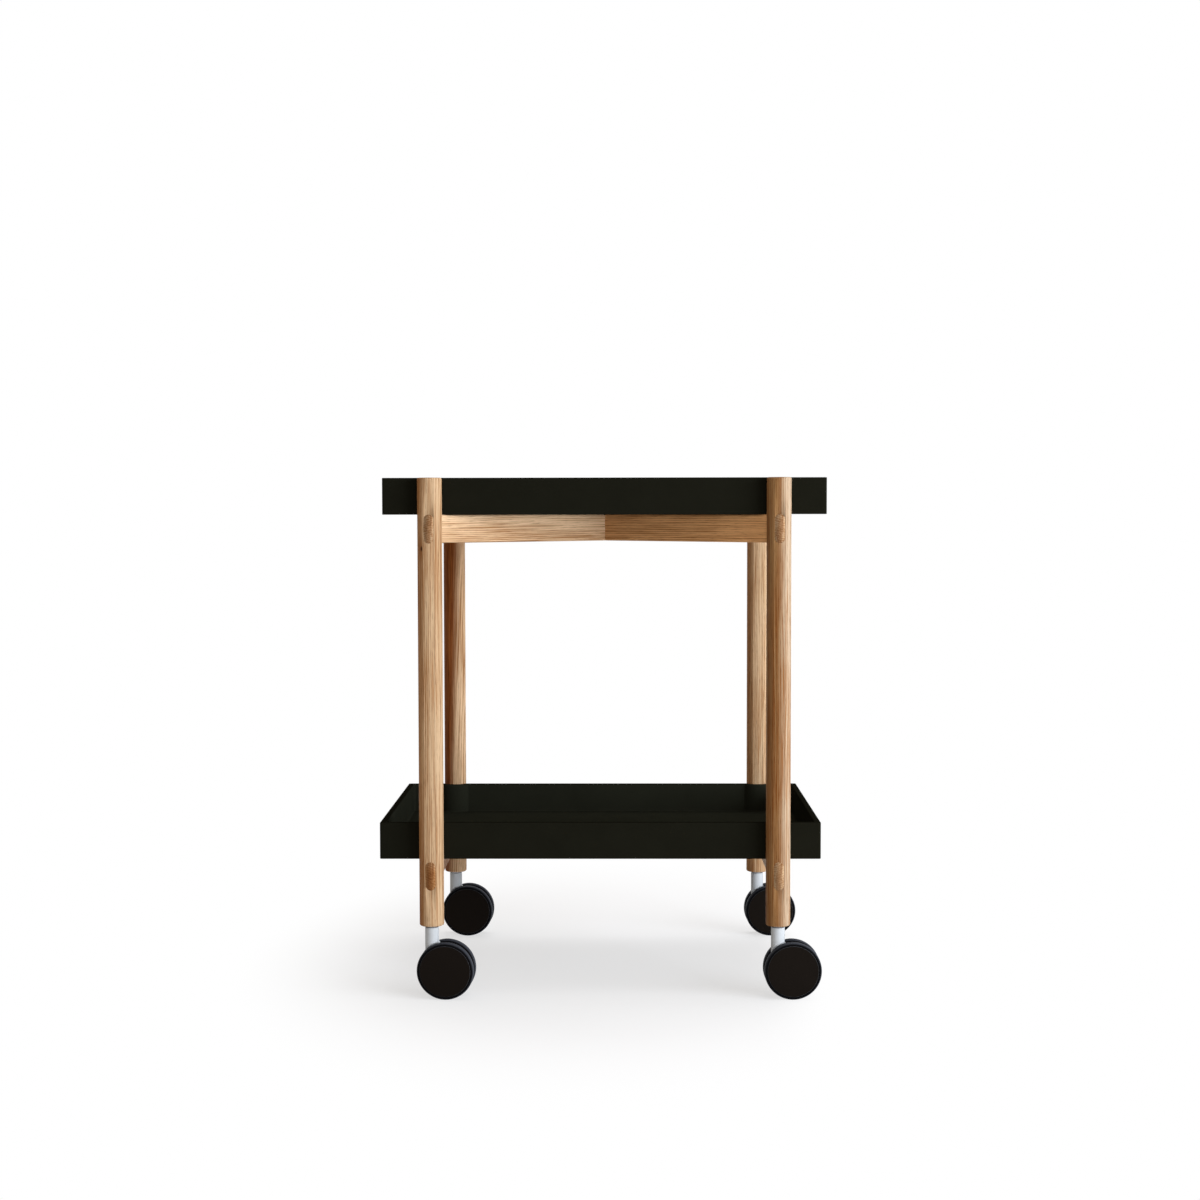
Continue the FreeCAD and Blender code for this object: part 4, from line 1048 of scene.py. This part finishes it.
def seen_directly(tree):
    """1 for camera, mirror and glass rays, 0 for the light that falls on the object."""
    rays = put(tree, "ShaderNodeLightPath").outputs
    seen = reckon(tree, "MAXIMUM", rays["Is Camera Ray"], rays["Is Glossy Ray"])
    return reckon(tree, "MAXIMUM", seen, rays["Is Transmission Ray"])


room = put(tree, "ShaderNodeBackground", {"Color": ROOM_LIGHT, "Strength": ROOM_STRENGTH})
backdrop = put(tree, "ShaderNodeBackground", {"Color": WHITE, "Strength": 1.0})
either = put(tree, "ShaderNodeMixShader",
             {0: seen_directly(tree), 1: room.outputs[0], 2: backdrop.outputs[0]})
put(tree, "ShaderNodeOutputWorld", {"Surface": either.outputs[0]})
print("the world has", len(tree.nodes), "nodes")

# %% [markdown]
# ## Floor
#
# The floor keeps the shadow that it receives, veiled by a glow of its own, and fades to plain white in an
# oval round the trolley, as it does in a picture with its background cut away. On the side of the window
# there is hardly any shadow to keep, so it fades sooner there. The fade is a distance: the place on the
# floor is stretched to each side and to the front, and the length of the result says how far out it is.

# %% Floor
FLOOR_REACH, FLOOR_GLOW = 8, 0.62
BOUNCE_GREY, VEILED_GREY = (0.75, 0.75, 0.75, 1), (0.39, 0.40, 0.42, 1)
OVAL_MIDDLE, SIDE_STRETCH, FRONT_STRETCH = 0.05, 1.6, 1.15
WINDOW_MIDDLE, WINDOW_STRETCH = 0.13, 4.8
FADE_START, FADE_END = 0.45, 0.85

bm = bmesh.new()
bmesh.ops.create_grid(bm, x_segments=1, y_segments=1, size=FLOOR_REACH)
floor = new_piece("studio_floor", bm)
floor_paint = bpy.data.materials.new("floor_paint")
floor_paint.use_nodes = True
tree = floor_paint.node_tree
tree.nodes.clear()

place = put(tree, "ShaderNodeTexCoord").outputs["Object"]
place = put(tree, "ShaderNodeSeparateXYZ", {0: place}).outputs
sideways = reckon(tree, "MULTIPLY", reckon(tree, "ABSOLUTE", place["X"]), SIDE_STRETCH)
to_window = reckon(tree, "SUBTRACT", place["X"], WINDOW_MIDDLE)
sideways = reckon(tree, "MAXIMUM", sideways, reckon(tree, "MULTIPLY", to_window, WINDOW_STRETCH))
forwards = reckon(tree, "MULTIPLY", reckon(tree, "SUBTRACT", place["Y"], OVAL_MIDDLE), FRONT_STRETCH)
oval = put(tree, "ShaderNodeCombineXYZ", {0: sideways, 1: forwards}).outputs[0]
faded = spread(tree, length_of(tree, oval), FADE_START, FADE_END)

matt = put(tree, "ShaderNodeBsdfDiffuse", {"Color": BOUNCE_GREY})
veiled = put(tree, "ShaderNodeBsdfDiffuse", {"Color": VEILED_GREY})
glow = put(tree, "ShaderNodeEmission", {"Color": WHITE, "Strength": FLOOR_GLOW})
lit = put(tree, "ShaderNodeAddShader", {0: veiled.outputs[0], 1: glow.outputs[0]})
paper = put(tree, "ShaderNodeEmission", {"Color": WHITE, "Strength": 1.0})
lit = put(tree, "ShaderNodeMixShader", {0: faded, 1: lit.outputs[0], 2: paper.outputs[0]})
either = put(tree, "ShaderNodeMixShader", {0: seen_directly(tree), 1: matt.outputs[0], 2: lit.outputs[0]})
put(tree, "ShaderNodeOutputMaterial", {"Surface": either.outputs[0]})
floor.data.materials.append(floor_paint)
print("the floor's paint has", len(tree.nodes), "nodes")

# %% [markdown]
# ## Lamps
#
# The light comes mostly from a wide window to the right, a little above the lower tray, so that it also
# reaches the beams and the far legs under the upper tray. A weak fill from the front and a soft light from
# above keep the dark sides from going black.

# %% Lamps
def softbox(name, place, target, width, height, power, color=(1, 1, 1)):
    """A large soft lamp that faces a point."""
    lamp = bpy.data.lights.new(name, "AREA")
    lamp.shape = "RECTANGLE"
    lamp.size, lamp.size_y = width, height
    lamp.energy = power
    lamp.color = color
    holder = bpy.data.objects.new(name, lamp)
    scene.collection.objects.link(holder)
    holder.location = place
    holder.rotation_euler = (Vector(target) - Vector(place)).to_track_quat("-Z", "Y").to_euler()
    print(name, "gives", power, "W")


softbox("window_right", (2.7, -1.9, 0.85), (0, 0, 0.45), 2.4, 1.6, 112, (0.96, 1.0, 1.05))
softbox("front_fill", (0.4, -3.6, 1.0), (0, 0, 0.45), 2.4, 1.6, 16)
softbox("overhead", (0.3, 0.3, 2.8), (0, 0, 0), 2.4, 2.0, 44)
